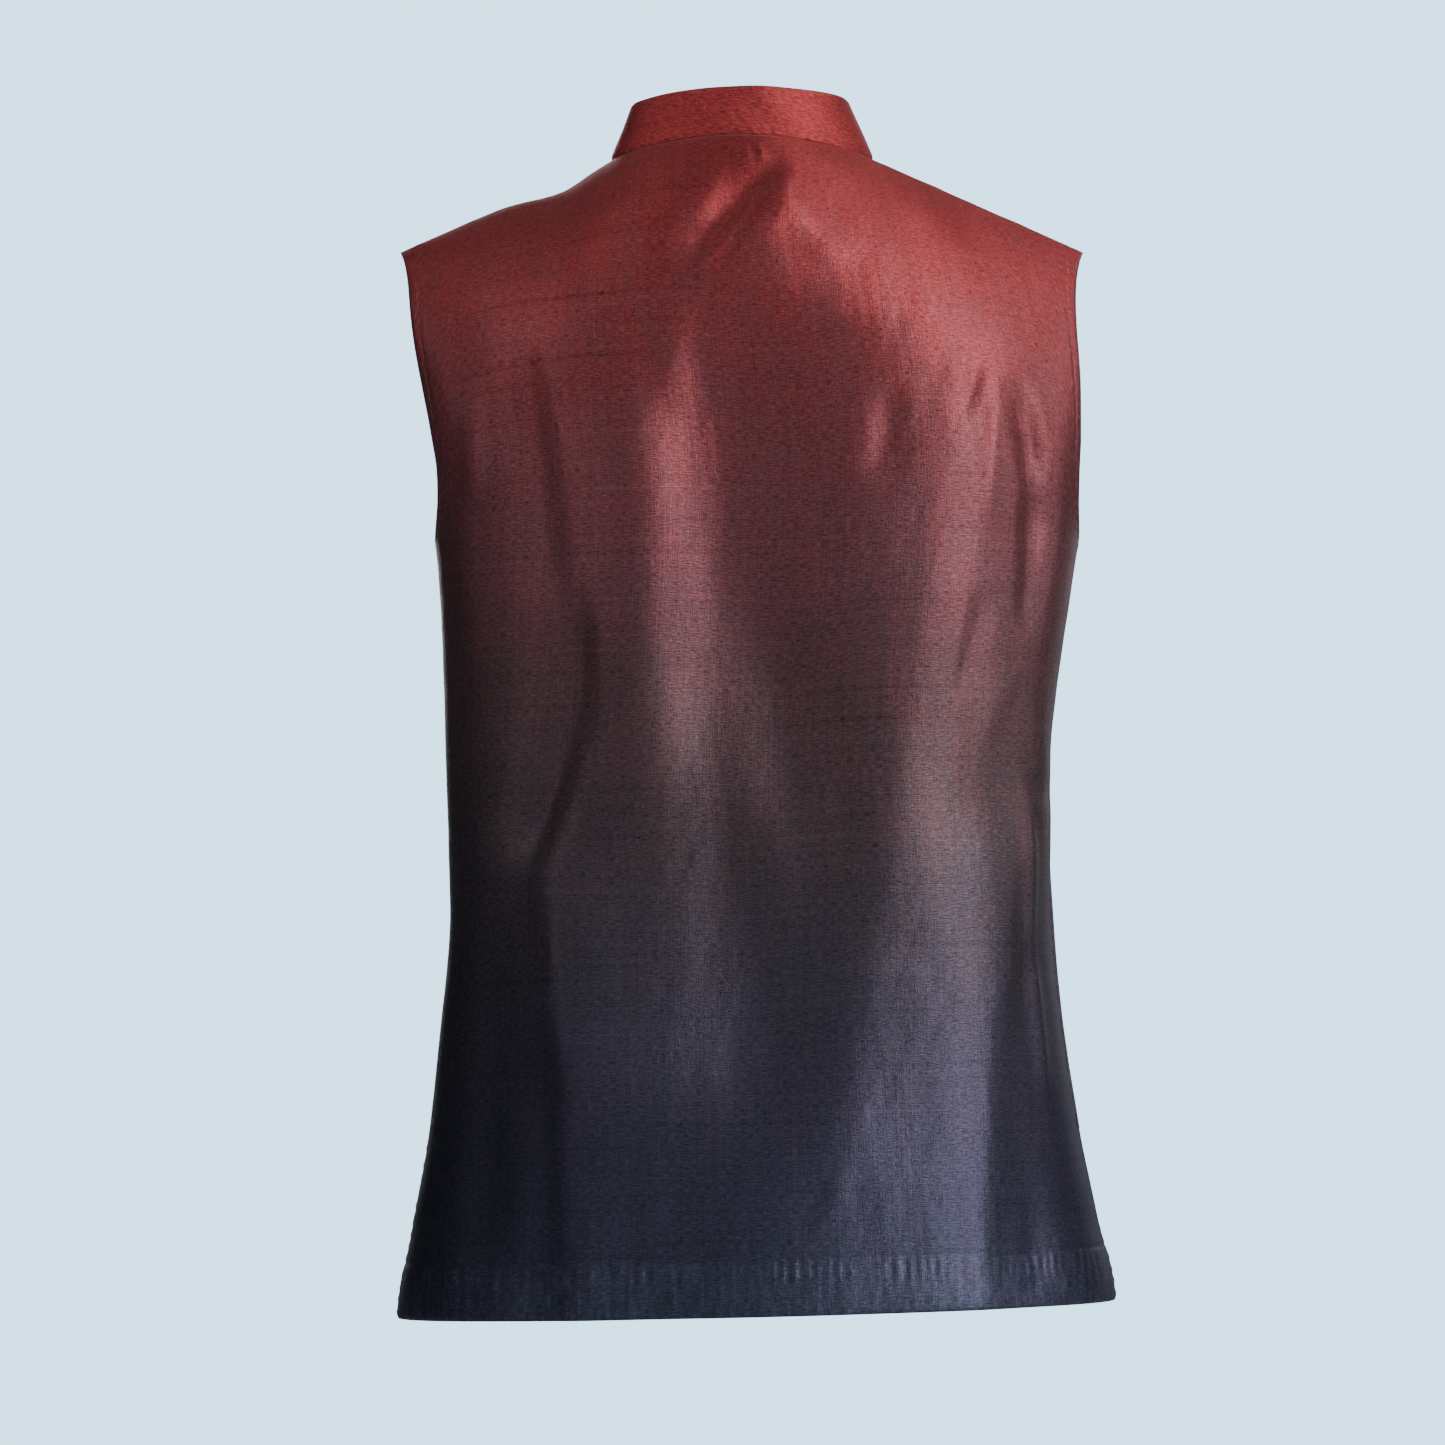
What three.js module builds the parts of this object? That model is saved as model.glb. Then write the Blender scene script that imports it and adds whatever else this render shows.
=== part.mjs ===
// A waistcoat with a stand collar, in the hollow shape that it has when it is worn.
// Millimetres, +Z up, the wearer faces -Y and the wearer's left is +X.
// The origin lies midway between the two points where the shoulder seams meet the collar.
import * as THREE from "three";

// Driving sizes
const NECK_HALF = 81;
const SHOULDER_HALF = 211;
const SHOULDER_DROP = 57;
const UNDERARM = -238;
const HEM = -709;
const HEM_TURN_UP = 30;
const HEM_TILT = 0.026;
const VENT_LENGTH = 105;
const VENT_GAP = 7;
const LAP = 18;
const COLLAR_HEIGHT = 32;
const BUTTON_RADIUS = 9;
const BUTTON_THICKNESS = 3.2;
const BUTTON_CLEARANCE = 0.6;
const BUTTON_SIDES = 20;
const BUTTON_RINGS = 4;
const BUTTON_COUNT = 5;
const BUTTON_TOP = -106;
const BUTTON_SPACING = 108;

// Cloth
const WALL = 1.6;
const HEM_EXTRA = 0.8;
const COLLAR_WALL = 2.4;
const SEAM_GAP = 0.48;
const LAP_CLEARANCE = 0.5;
const LAP_FADE = 55;

// Shape of the figure under the cloth
const RIDGE_Y = -2;
const RIDGE_ROUND = 12;
const SQUARENESS = 2.5;
const NECK_SHARE = 0.42;
const FRONT_NECK_DIP = 72;
const CENTRE_STRAIGHT = 0.25;
const EDGE_DRAW = 2.5;

// Level sections of the body, from the hem up. Depths are measured from the origin to the cloth.
const SECTIONS = [
  { height: -709, halfWidth: 221, back: 124, front: 121, lean: -9 },
  { height: -655, halfWidth: 211, back: 119, front: 119, lean: -8 },
  { height: -600, halfWidth: 200.5, back: 112, front: 117, lean: -7.3 },
  { height: -530, halfWidth: 191.5, back: 104, front: 115, lean: -6 },
  { height: -470, halfWidth: 186, back: 98, front: 115, lean: -6 },
  { height: -420, halfWidth: 185, back: 97, front: 117, lean: -4.3 },
  { height: -370, halfWidth: 185.5, back: 101, front: 121, lean: -3.2 },
  { height: -330, halfWidth: 188.3, back: 107, front: 125, lean: -5 },
  { height: -280, halfWidth: 193, back: 114, front: 129, lean: -7.7 },
  { height: -238, halfWidth: 198, back: 117, front: 131, lean: -9 },
  { height: -215, halfWidth: 203.5, back: 118, front: 131, lean: -9.6 },
  { height: -190, halfWidth: 210, back: 118, front: 130, lean: -9.3 },
  { height: -150, halfWidth: 218, back: 116, front: 128, lean: -6 },
  { height: -100, halfWidth: 226, back: 112, front: 126, lean: -0.7 },
  { height: -50, halfWidth: 228, back: 112, front: 126, lean: 0 },
];

// Half width across the cloth at the armhole's edge, from the underarm (rise 0) to the shoulder (rise 1).
const ARMHOLE = [
  { rise: 0, back: 198, front: 198 },
  { rise: 0.12, back: 196.5, front: 193 },
  { rise: 0.25, back: 197, front: 188 },
  { rise: 0.45, back: 202, front: 187 },
  { rise: 0.7, back: 205, front: 193 },
  { rise: 1, back: 211, front: 211 },
];

// How each face of the cloth comes over the shoulder, as shares of the fall and of the depth.
const FACES = {
  back: {
    sign: 1,
    fall: 130,
    upright: 0.62,
    levelAtNeck: 0.35,
    levelAtTip: 0.35,
    neckDepth: 54,
    neckDrop: -8,
    neckPower: 3,
    reach: 90,
  },
  front: {
    sign: -1,
    fall: 150,
    upright: 0.55,
    levelAtNeck: 0.06,
    levelAtTip: 0.25,
    neckDepth: 66,
    neckDrop: 78,
    neckPower: 1.1,
    reach: 120,
  },
};

// Soft ridges (depth above 0) and troughs (below 0), each along a line. The columns are x and z of the
// line's one end, x and z of the other, the width to the wearer's left and right, the depth, and the
// share of the line over which each end fades out.
const FOLDS = {
  back: {
    "hollow of the spine": [14, -90, -4, -420, 44, 60, -13, 0.3],
    "lower hollow of the spine": [2, -300, -10, -660, 46, 46, -9, 0.35],
    "small of the back": [-14, -260, -48, -450, 36, 24, -6, 0.4],
    "left blade": [68, -110, 60, -440, 24, 26, 4, 0.3],
    "right blade": [-140, -110, -122, -360, 34, 26, 3.5, 0.35],
    "ridge from the right blade": [-116, -280, -50, -660, 32, 44, 4.5, 0.3],
    "upper left trough": [139, -110, 110, -310, 38, 13, -5, 0.35],
    "left trough": [106, -270, 97, -390, 40, 12, -4.5, 0.4],
    "lower left trough": [99, -350, 134, -450, 26, 11, -4, 0.35],
    "left skirt ridge": [117, -400, 101, -600, 15, 30, 5, 0.3],
    "left skirt ridge to the hem": [102, -520, 97, -760, 15, 30, 5, 0.25],
    "left skirt hollow": [152, -430, 158, -730, 20, 20, -4, 0.3],
    "middle skirt ridge": [-22, -530, -26, -830, 70, 82, 10, 0.35],
    "right skirt ridge": [-162, -390, -146, -560, 60, 17, 5, 0.3],
    "right skirt ridge to the hem": [-148, -500, -137, -760, 50, 17, 4, 0.25],
    "right skirt hollow": [-182, -400, -176, -740, 24, 40, -3, 0.25],
    "right side trough": [-173, -150, -178, -270, 10, 10, -3.5, 0.4],
    "neck drag trough": [-14, -6, 40, -84, 17, 10, -4.6, 0.35],
    "neck drag ridge": [-40, -6, -6, -72, 12, 12, 1.4, 0.4],
    "right neck trough": [-68, -10, -42, -72, 12, 12, -1.8, 0.4],
    "right neck ridge": [-70, -10, -128, -56, 12, 12, 1.6, 0.4],
    "hollow of the left shoulder": [114, 70, 114, -110, 24, 24, -6, 0.5],
  },
  front: {
    "hollow of the left shoulder": [114, 70, 114, -110, 24, 24, -6, 0.5],
    "left chest hollow": [88, -150, 96, -360, 30, 30, -5, 0.35],
    "right chest hollow": [-90, -150, -100, -350, 30, 30, -5, 0.35],
    "left skirt ridge": [98, -400, 112, -730, 20, 20, 5, 0.3],
    "left skirt valley": [142, -430, 156, -730, 18, 18, -5, 0.3],
    "right skirt ridge": [-106, -410, -118, -730, 20, 20, 5, 0.3],
    "right skirt valley": [-150, -420, -160, -730, 18, 18, -5, 0.3],
    "left shoulder drag": [110, -50, 150, -190, 16, 16, -3.5, 0.35],
    "right shoulder drag": [-112, -50, -150, -185, 16, 16, -3.5, 0.35],
  },
};

// Grid of a panel
const BODY_ROWS = 16;
const YOKE_ROWS = 14;
const UNDERARM_EASE = 0.2;
const NECK_COLUMNS = 9;
const SHOULDER_COLUMNS = 9;

const RIGHT_ANGLE = Math.PI / 2;
const mix = (a, b, t) => a + (b - a) * t;
const clamp = (t) => Math.min(1, Math.max(0, t));
const smooth = (t) => clamp(t) * clamp(t) * (3 - 2 * clamp(t));

// Smooth curve through one column of a table, held level past its ends.
function track(table, key, column, at) {
  const last = table.length - 1;
  if (at <= table[0][key]) return table[0][column];
  if (at >= table[last][key]) return table[last][column];
  const i = table.findIndex((row, n) => n < last && at < table[n + 1][key]);
  const slope = (a, b) => (table[b][column] - table[a][column]) / (table[b][key] - table[a][key]);
  const tangent = (n) => (n === 0 || n === last ? 0 : slope(n - 1, n + 1));
  const span = table[i + 1][key] - table[i][key];
  const t = (at - table[i][key]) / span;
  const rise = table[i + 1][column] - table[i][column];
  return (
    table[i][column] +
    rise * t * t * (3 - 2 * t) +
    span * t * (1 - t) * (tangent(i) * (1 - t) - tangent(i + 1) * t)
  );
}

// Height of the shoulder line above each point across the body.
function ridgeHeight(x, face) {
  const slope = SHOULDER_DROP / (SHOULDER_HALF - NECK_HALF);
  const line = slope * (Math.hypot(NECK_HALF, RIDGE_ROUND) - Math.hypot(x, RIDGE_ROUND));
  if (face === "back") {
    return line;
  }
  return line - FRONT_NECK_DIP * Math.cos(RIGHT_ANGLE * clamp(Math.abs(x) / NECK_HALF));
}

// Angle round a section at which its half width is x.
function angleAt(x, halfWidth) {
  const across = Math.min(1, Math.abs(x) / halfWidth);
  const along = Math.pow(1 - Math.pow(across, SQUARENESS), 1 / SQUARENESS);
  return Math.sign(x) * Math.atan2(across, along);
}

// A point over the shoulder at x across: t is 0 on the upright body and 1 at the shoulder line.
function overShoulder(x, depth, face, t) {
  const { fall, upright, levelAtNeck, levelAtTip } = FACES[face];
  const ridge = ridgeHeight(x, face);
  const level = mix(levelAtNeck, levelAtTip, smooth((Math.abs(x) - NECK_HALF / 2) / NECK_HALF));
  const s = 1 - t;
  const out = s * s * s + 3 * s * s * t + 3 * s * t * t * level;
  const down = s * s * s + 3 * s * s * t * (1 - upright);
  return { y: RIDGE_Y + (depth - RIDGE_Y) * out, z: ridge - fall * down };
}

// Length of cloth from the upright body to the shoulder line.
function shoulderLength(depth, face) {
  return 0.96 * Math.hypot(depth - RIDGE_Y, FACES[face].fall) + 0.1 * Math.abs(depth);
}

// The figure's surface at an angle round the body and a height measured along the cloth.
function figure(face, angle, height) {
  const { sign, fall } = FACES[face];
  const halfWidth = track(SECTIONS, "height", "halfWidth", height);
  const across = Math.abs(Math.sin(angle));
  const along = Math.abs(Math.cos(angle));
  const swell = Math.pow(Math.pow(across, SQUARENESS) + Math.pow(along, SQUARENESS), -1 / SQUARENESS);
  const x = halfWidth * swell * Math.sin(angle);
  const depth = sign * track(SECTIONS, "height", face, height) * swell * Math.cos(angle);
  const bend = height - (ridgeHeight(x, face) - fall);
  if (bend <= 0) return { x, y: depth, z: height };
  return { x, ...overShoulder(x, depth, face, bend / shoulderLength(depth, face)) };
}

// The neckline, from the centre (turn 0) to the shoulder seam (turn of a right angle).
function neckline(face, turn) {
  const { sign, neckDepth, neckDrop, neckPower } = FACES[face];
  const centre = Math.cos(turn);
  return {
    x: NECK_HALF * Math.sin(turn),
    y: RIDGE_Y + sign * neckDepth * centre,
    z: -neckDrop * Math.pow(Math.max(0, centre), neckPower),
  };
}

// Where a column of cloth ends at the neckline or the shoulder seam. u is 0 at the centre and 1 at the
// armhole.
function topOf(face, u) {
  const { sign, fall } = FACES[face];
  const widest = track(SECTIONS, "height", "halfWidth", 0);
  const onNeck = Math.abs(u) < NECK_SHARE;
  const x = onNeck
    ? NECK_HALF * Math.sin((RIGHT_ANGLE * u) / NECK_SHARE)
    : mix(NECK_HALF, SHOULDER_HALF, (u - NECK_SHARE) / (1 - NECK_SHARE));
  const ridge = ridgeHeight(x, face);
  const along = Math.pow(1 - Math.pow(Math.abs(x) / widest, SQUARENESS), 1 / SQUARENESS);
  const depth = sign * track(SECTIONS, "height", face, 0) * along;
  const length = shoulderLength(depth, face);
  const seam = (sign * SEAM_GAP) / 2;
  if (!onNeck) return { x, height: ridge - fall + length, shift: { x: 0, y: seam, z: 0 } };
  const goal = neckline(face, (RIGHT_ANGLE * u) / NECK_SHARE);
  let low = 0;
  let high = 1;
  for (let step = 0; step < 30; step++) {
    const t = (low + high) / 2;
    if (Math.abs(overShoulder(x, depth, face, t).y - RIDGE_Y) > Math.abs(goal.y - RIDGE_Y)) low = t;
    else high = t;
  }
  const reached = overShoulder(x, depth, face, low);
  const shift = { x: goal.x - x, y: goal.y - reached.y + seam, z: goal.z - reached.z };
  return { x, height: ridge - fall + length * low, shift };
}

// Unfolded cloth of one half of a face: u runs from the centre (0) to the armhole and side seam (1), and
// level from the hem (0) to the underarm (1) and on to the neckline and shoulder seam (2).
function plainCloth(face, u, level) {
  const top = topOf(face, u);
  const rise = clamp(level - 1);
  const height = level <= 1 ? mix(HEM, UNDERARM, level) : mix(UNDERARM, top.height, rise);
  const edgeHeight = level <= 1 ? height : mix(UNDERARM, topOf(face, 1).height, rise);
  const edgeX = track(ARMHOLE, "rise", face, rise);
  const gap = SEAM_GAP / 2 + (VENT_GAP / 2) * clamp((HEM + VENT_LENGTH - height) / VENT_LENGTH);
  const halfWidth = track(SECTIONS, "height", "halfWidth", edgeHeight);
  const edgeAngle = level <= 1 ? RIGHT_ANGLE : angleAt(edgeX, halfWidth);
  const edge = edgeAngle - (1 - rise) * (gap / track(SECTIONS, "height", face, edgeHeight));
  const straight = 1 - smooth(Math.abs(u) / CENTRE_STRAIGHT);
  const follow = 1 - (1 - smooth(rise)) * (1 - straight);
  const beyondNeck = clamp((Math.abs(u) - NECK_SHARE) / (1 - NECK_SHARE));
  const goalX = top.x + (edgeX - SHOULDER_HALF) * beyondNeck;
  const drawn = u * RIGHT_ANGLE - (RIGHT_ANGLE - edge) * Math.pow(Math.abs(u), EDGE_DRAW);
  const angle = mix(drawn, angleAt(goalX, track(SECTIONS, "height", "halfWidth", height)), follow);
  const point = figure(face, angle, height);
  const pull = level <= 1 ? 0 : smooth(1 - (top.height - height) / FACES[face].reach);
  return new THREE.Vector3(
    point.x + top.shift.x * pull,
    point.y + top.shift.y * pull,
    point.z + top.shift.z * pull,
  );
}

// How far the folds stand out from the unfolded cloth.
function foldDepth(face, x, z) {
  let sum = 0;
  for (const [x1, z1, x2, z2, left, right, depth, fade] of Object.values(FOLDS[face])) {
    const length = Math.hypot(x2 - x1, z2 - z1);
    const alongX = (x2 - x1) / length;
    const alongZ = (z2 - z1) / length;
    const along = ((x - x1) * alongX + (z - z1) * alongZ) / length;
    const aside = (x - x1) * alongZ - (z - z1) * alongX;
    const width = aside < 0 ? left : right;
    const ends = smooth(along / fade) * smooth((1 - along) / fade);
    sum += depth * ends * Math.exp(-((aside / width) ** 2));
  }
  return sum;
}

// Sideways lean of the whole garment at a height.
const lean = (z) => track(SECTIONS, "height", "lean", z);

// A point of the folded cloth and its outward normal. side is 1 on the wearer's left and -1 on the right.
function cloth(face, side, u, level) {
  const place = (a, b) => {
    const p = plainCloth(face, a, b);
    p.setX(side * p.x + lean(p.z));
    return p.setZ(p.z - HEM_TILT * p.x * smooth((p.z - UNDERARM) / (HEM - UNDERARM)));
  };
  const step = 0.004;
  const p = place(u, level);
  const acrossCloth = place(Math.min(1, u + step), level).sub(place(u - step, level));
  const upCloth = place(u, Math.min(2, level + step)).sub(place(u, Math.max(0, level - step)));
  const normal = acrossCloth.cross(upCloth).multiplyScalar(-side * FACES[face].sign).normalize();
  return { point: p.addScaledVector(normal, foldDepth(face, p.x, p.z)), normal };
}

// Levels of the rows, with one row at the top of the turned-up hem.
function rowLevels() {
  const turnUp = HEM_TURN_UP / (UNDERARM - HEM);
  const levels = [0, turnUp * 0.96];
  for (let i = 0; i <= BODY_ROWS; i++) levels.push(mix(turnUp, 1, i / BODY_ROWS));
  for (let i = 1; i <= YOKE_ROWS; i++) {
    const t = i / YOKE_ROWS;
    levels.push(1 + ((1 + UNDERARM_EASE) * t * t) / (t + UNDERARM_EASE));
  }
  return levels;
}

// Closed wall on a grid of rows, each point with its normal and its reach to the outside and the inside.
function wallSolid(rows, flip) {
  const positions = [];
  const indices = [];
  const width = rows[0].length;
  for (const sideOfWall of ["outside", "inside"]) {
    for (const row of rows) {
      for (const { point, normal, outside, inside } of row) {
        const reach = sideOfWall === "outside" ? outside : -inside;
        positions.push(...point.clone().addScaledVector(normal, reach).toArray());
      }
    }
  }
  const inner = rows.length * width;
  const quad = (a, b, c, d) => {
    if (flip) indices.push(a, c, b, a, d, c);
    else indices.push(a, b, c, a, c, d);
  };
  for (let i = 0; i + 1 < rows.length; i++) {
    for (let j = 0; j + 1 < width; j++) {
      const a = i * width + j;
      quad(a, a + 1, a + width + 1, a + width);
      quad(inner + a, inner + a + width, inner + a + width + 1, inner + a + 1);
    }
  }
  const rim = [];
  for (let j = 0; j < width; j++) rim.push(j);
  for (let i = 1; i < rows.length; i++) rim.push(i * width + width - 1);
  for (let j = width - 2; j >= 0; j--) rim.push((rows.length - 1) * width + j);
  for (let i = rows.length - 2; i > 0; i--) rim.push(i * width);
  rim.forEach((a, n) => {
    const b = rim[(n + 1) % rim.length];
    quad(b, a, inner + a, inner + b);
  });
  const geometry = new THREE.BufferGeometry();
  geometry.setAttribute("position", new THREE.Float32BufferAttribute(positions, 3));
  geometry.setIndex(indices);
  return geometry;
}

const hemExtra = (level) => (level * (UNDERARM - HEM) < HEM_TURN_UP - 0.5 ? HEM_EXTRA : 0);

// Places of the columns across half a face, from the centre to the armhole.
function columnPlaces() {
  const places = [];
  for (let j = 0; j <= NECK_COLUMNS; j++) places.push((NECK_SHARE * j) / NECK_COLUMNS);
  for (let j = 1; j <= SHOULDER_COLUMNS; j++) places.push(mix(NECK_SHARE, 1, j / SHOULDER_COLUMNS));
  return places;
}

function backPanel() {
  const half = columnPlaces();
  const places = [...half.slice(1).reverse().map((u) => -u), ...half];
  const rows = rowLevels().map((level) =>
    places.map((u) => {
      const place = cloth("back", u < 0 ? -1 : 1, Math.abs(u), level);
      return { ...place, outside: WALL / 2, inside: WALL / 2 + hemExtra(level) };
    }),
  );
  return wallSolid(rows, true);
}

// How far a front moves out or in where the two lap, fading towards the sides.
function lapShift(point) {
  const fromCentre = Math.abs(point.x - lean(point.z));
  return (1 - smooth((fromCentre - LAP - 2) / LAP_FADE)) * ((WALL + HEM_EXTRA + LAP_CLEARANCE) / 2);
}

// A front runs from its lap, past the centre, to the side seam. The left one lies outside the right one.
function frontPanel(side) {
  const lapPlace = -(NECK_SHARE * Math.asin(LAP / NECK_HALF)) / RIGHT_ANGLE;
  const places = [lapPlace, ...columnPlaces()];
  const rows = rowLevels().map((level) =>
    places.map((u) => {
      const { point, normal } = cloth("front", side, u, level);
      point.addScaledVector(normal, side * lapShift(point));
      return { point, normal, outside: WALL / 2, inside: WALL / 2 + hemExtra(level) };
    }),
  );
  return wallSolid(rows, side < 0);
}

// Top edge of the collar: a smaller loop above the neckline. turn is 0 at the centre back.
const COLLAR_TOP = [
  { turn: 0, across: 0, depth: 45, height: 39 },
  { turn: 90, across: 66, depth: -2, height: 36 },
  { turn: 180, across: 0, depth: -63, height: -44 },
];
const COLLAR_SHIFT = 1;
const COLLAR_TILT = 0.02;
const COLLAR_END = 175;
const COLLAR_ROWS = 5;
const COLLAR_CORNER = 16;
const COLLAR_SEAT = 1.5;
const COLLAR_SEAT_BESIDE = 1.2;
const COLLAR_SEAT_FRONT = 0.8;

// The collar's loops at a turn: its neckline edge and its top edge.
function collarEdges(turn) {
  const face = Math.abs(turn) <= 90 ? "back" : "front";
  const quarter = Math.abs(turn) <= 90 ? Math.abs(turn) : 180 - Math.abs(turn);
  const radians = (quarter * Math.PI) / 180;
  const side = Math.sign(turn);
  const base = neckline(face, radians);
  const centre = COLLAR_TOP[face === "back" ? 0 : 2];
  const beside = COLLAR_TOP[1];
  const topX = side * beside.across * Math.sin(radians);
  const topY = mix(beside.depth, centre.depth, Math.cos(radians));
  const topZ = mix(beside.height, centre.height, Math.pow(Math.cos(radians), FACES[face].neckPower));
  const low = new THREE.Vector3(side * base.x + lean(base.z), base.y, base.z);
  const high = new THREE.Vector3(topX + COLLAR_SHIFT, topY, topZ - COLLAR_TILT * topX);
  if (face === "back") return { low, high };
  const { normal } = cloth("front", side, (NECK_SHARE * quarter) / 90, 2);
  const shift = side * lapShift(low);
  return { low: low.addScaledVector(normal, shift), high: high.addScaledVector(normal, shift) };
}

// A point of the collar, from just clear of the neckline (v of 0) to its top edge (v of 1).
function collarPoint(turn, v) {
  const { low, high } = collarEdges(turn);
  const along = collarEdges(turn + 1).low.sub(collarEdges(turn - 1).low).normalize();
  const rise = high.clone().sub(low);
  const square = rise.clone().addScaledVector(along, -rise.dot(along)).normalize();
  const beside = COLLAR_SEAT_BESIDE * Math.exp(-(((Math.abs(turn) - 96) / 12) ** 2));
  const front = COLLAR_SEAT_FRONT * smooth((Math.abs(turn) - 145) / 15);
  const seat = low.addScaledVector(square, COLLAR_SEAT + beside + front);
  return seat.lerp(high, v);
}

// Turns of the collar's columns, close together at its rounded front corners.
function collarTurns() {
  const half = [];
  for (let j = 1; j < 2 * NECK_COLUMNS; j++) half.push((90 * j) / NECK_COLUMNS);
  for (const back of [7.5, 3.5, 1.5, 0.5, 0]) half.push(COLLAR_END - back);
  half.sort((a, b) => a - b);
  return [...half.map((turn) => -turn).reverse(), 0, ...half];
}

function collarBand() {
  const turns = collarTurns();
  const rows = [];
  for (let i = 0; i <= COLLAR_ROWS; i++) {
    const row = turns.map((turn) => {
      const toEnd = ((COLLAR_END - Math.abs(turn)) * Math.PI * NECK_HALF) / 180;
      const corner = Math.max(0, COLLAR_CORNER - toEnd);
      const cut = COLLAR_CORNER - Math.sqrt(COLLAR_CORNER ** 2 - corner ** 2);
      const v = (i / COLLAR_ROWS) * (1 - cut / COLLAR_HEIGHT);
      const acrossCloth = collarPoint(turn + 0.5, v).sub(collarPoint(turn - 0.5, v));
      const upCloth = collarPoint(turn, v + 0.01).sub(collarPoint(turn, v - 0.01));
      const normal = upCloth.cross(acrossCloth).normalize();
      return { point: collarPoint(turn, v), normal, outside: COLLAR_WALL / 2, inside: COLLAR_WALL / 2 };
    });
    rows.push(row);
  }
  return wallSolid(rows, true);
}

// A covered button: a low dome on a flat back, clear of the cloth that it is sewn to.
function button(height) {
  const rings = [{ radius: BUTTON_RADIUS - 0.7, height: 0 }, { radius: BUTTON_RADIUS, height: 0.9 }];
  for (let i = 1; i < BUTTON_RINGS; i++) {
    const a = (RIGHT_ANGLE * i) / BUTTON_RINGS;
    rings.push({ radius: BUTTON_RADIUS * Math.cos(a), height: mix(0.9, BUTTON_THICKNESS, Math.sin(a)) });
  }
  const { point, normal } = frontCentre(height);
  const across = new THREE.Vector3(1, 0, 0).addScaledVector(normal, -normal.x).normalize();
  const up = normal.clone().cross(across);
  const foot = point.addScaledVector(normal, WALL / 2 + BUTTON_CLEARANCE);
  const positions = [...foot.toArray()];
  for (const ring of rings) {
    for (let k = 0; k < BUTTON_SIDES; k++) {
      const a = (2 * Math.PI * k) / BUTTON_SIDES;
      const p = foot.clone().addScaledVector(normal, ring.height);
      p.addScaledVector(across, ring.radius * Math.cos(a)).addScaledVector(up, ring.radius * Math.sin(a));
      positions.push(...p.toArray());
    }
  }
  positions.push(...foot.clone().addScaledVector(normal, BUTTON_THICKNESS).toArray());
  const indices = [];
  const last = 1 + rings.length * BUTTON_SIDES;
  for (let k = 0; k < BUTTON_SIDES; k++) {
    const next = (k + 1) % BUTTON_SIDES;
    indices.push(0, 1 + next, 1 + k);
    for (let i = 0; i + 1 < rings.length; i++) {
      const a = 1 + i * BUTTON_SIDES;
      const b = a + BUTTON_SIDES;
      indices.push(a + k, a + next, b + next, a + k, b + next, b + k);
    }
    const top = last - BUTTON_SIDES;
    indices.push(top + k, top + next, last);
  }
  const geometry = new THREE.BufferGeometry();
  geometry.setAttribute("position", new THREE.Float32BufferAttribute(positions, 3));
  geometry.setIndex(indices);
  return geometry;
}

// The left front's centre line at a height, found by halving between the hem and the neckline.
function frontCentre(height) {
  let low = 0;
  let high = 2;
  for (let step = 0; step < 40; step++) {
    const level = (low + high) / 2;
    if (cloth("front", 1, 0, level).point.z < height) low = level;
    else high = level;
  }
  const { point, normal } = cloth("front", 1, 0, low);
  return { point: point.addScaledVector(normal, lapShift(point)), normal };
}

function material(name, color, roughness) {
  return new THREE.MeshStandardMaterial({ name, color, roughness });
}

const group = new THREE.Group();
group.name = "waistcoat";

function add(name, geometry, cover) {
  const mesh = new THREE.Mesh(geometry, cover);
  mesh.name = name;
  group.add(mesh);
}

add("back", backPanel(), material("back satin", 0x6f3038, 0.55));
add("front_left", frontPanel(1), material("front satin", 0x6f3038, 0.55));
add("front_right", frontPanel(-1), material("front satin", 0x6f3038, 0.55));
add("collar", collarBand(), material("collar satin", 0x9a3336, 0.55));
for (let n = 1; n <= BUTTON_COUNT; n++) {
  const height = BUTTON_TOP - BUTTON_SPACING * (n - 1);
  add(`button_${n}`, button(height), material("button cover", 0x7a2a30, 0.5));
}

export default group;
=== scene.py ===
"""A waistcoat with a stand collar, seen from behind, in the form that it has when worn."""
import math

import bpy
import numpy as np
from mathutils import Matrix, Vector


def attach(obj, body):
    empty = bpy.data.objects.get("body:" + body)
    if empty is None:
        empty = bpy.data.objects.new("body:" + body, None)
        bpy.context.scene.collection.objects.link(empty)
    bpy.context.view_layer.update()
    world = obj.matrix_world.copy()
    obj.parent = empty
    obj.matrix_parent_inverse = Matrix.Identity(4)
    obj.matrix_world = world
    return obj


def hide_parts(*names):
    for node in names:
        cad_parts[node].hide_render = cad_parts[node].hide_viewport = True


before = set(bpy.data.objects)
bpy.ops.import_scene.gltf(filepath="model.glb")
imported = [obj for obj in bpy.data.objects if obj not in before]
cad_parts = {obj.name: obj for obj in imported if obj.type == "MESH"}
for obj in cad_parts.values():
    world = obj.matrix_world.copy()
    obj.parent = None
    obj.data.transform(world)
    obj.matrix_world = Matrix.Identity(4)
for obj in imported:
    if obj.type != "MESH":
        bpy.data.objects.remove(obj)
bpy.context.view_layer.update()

# Driving sizes in millimetres. Two differ from the solids' to suit the finer cloth: the hem's turn-up, which
# is 30 in the solids, and the collar's seat, which is 1.5.
NECK_HALF = 81
SHOULDER_HALF = 211
SHOULDER_DROP = 57
UNDERARM = -238
HEM = -709
HEM_TURN_UP = 34
HEM_EXTRA = 0.8
HEM_TILT = 0.026
VENT_LENGTH = 105
VENT_GAP = 7
WALL = 1.6
COLLAR_WALL = 2.4
SEAM_GAP = 0.48
LAP = 18
LAP_CLEARANCE = 0.5
LAP_SHIFT = (WALL + HEM_EXTRA + LAP_CLEARANCE) / 2
LAP_FADE = 55
RIDGE_Y = -2
RIDGE_ROUND = 12
SQUARENESS = 2.5
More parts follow.
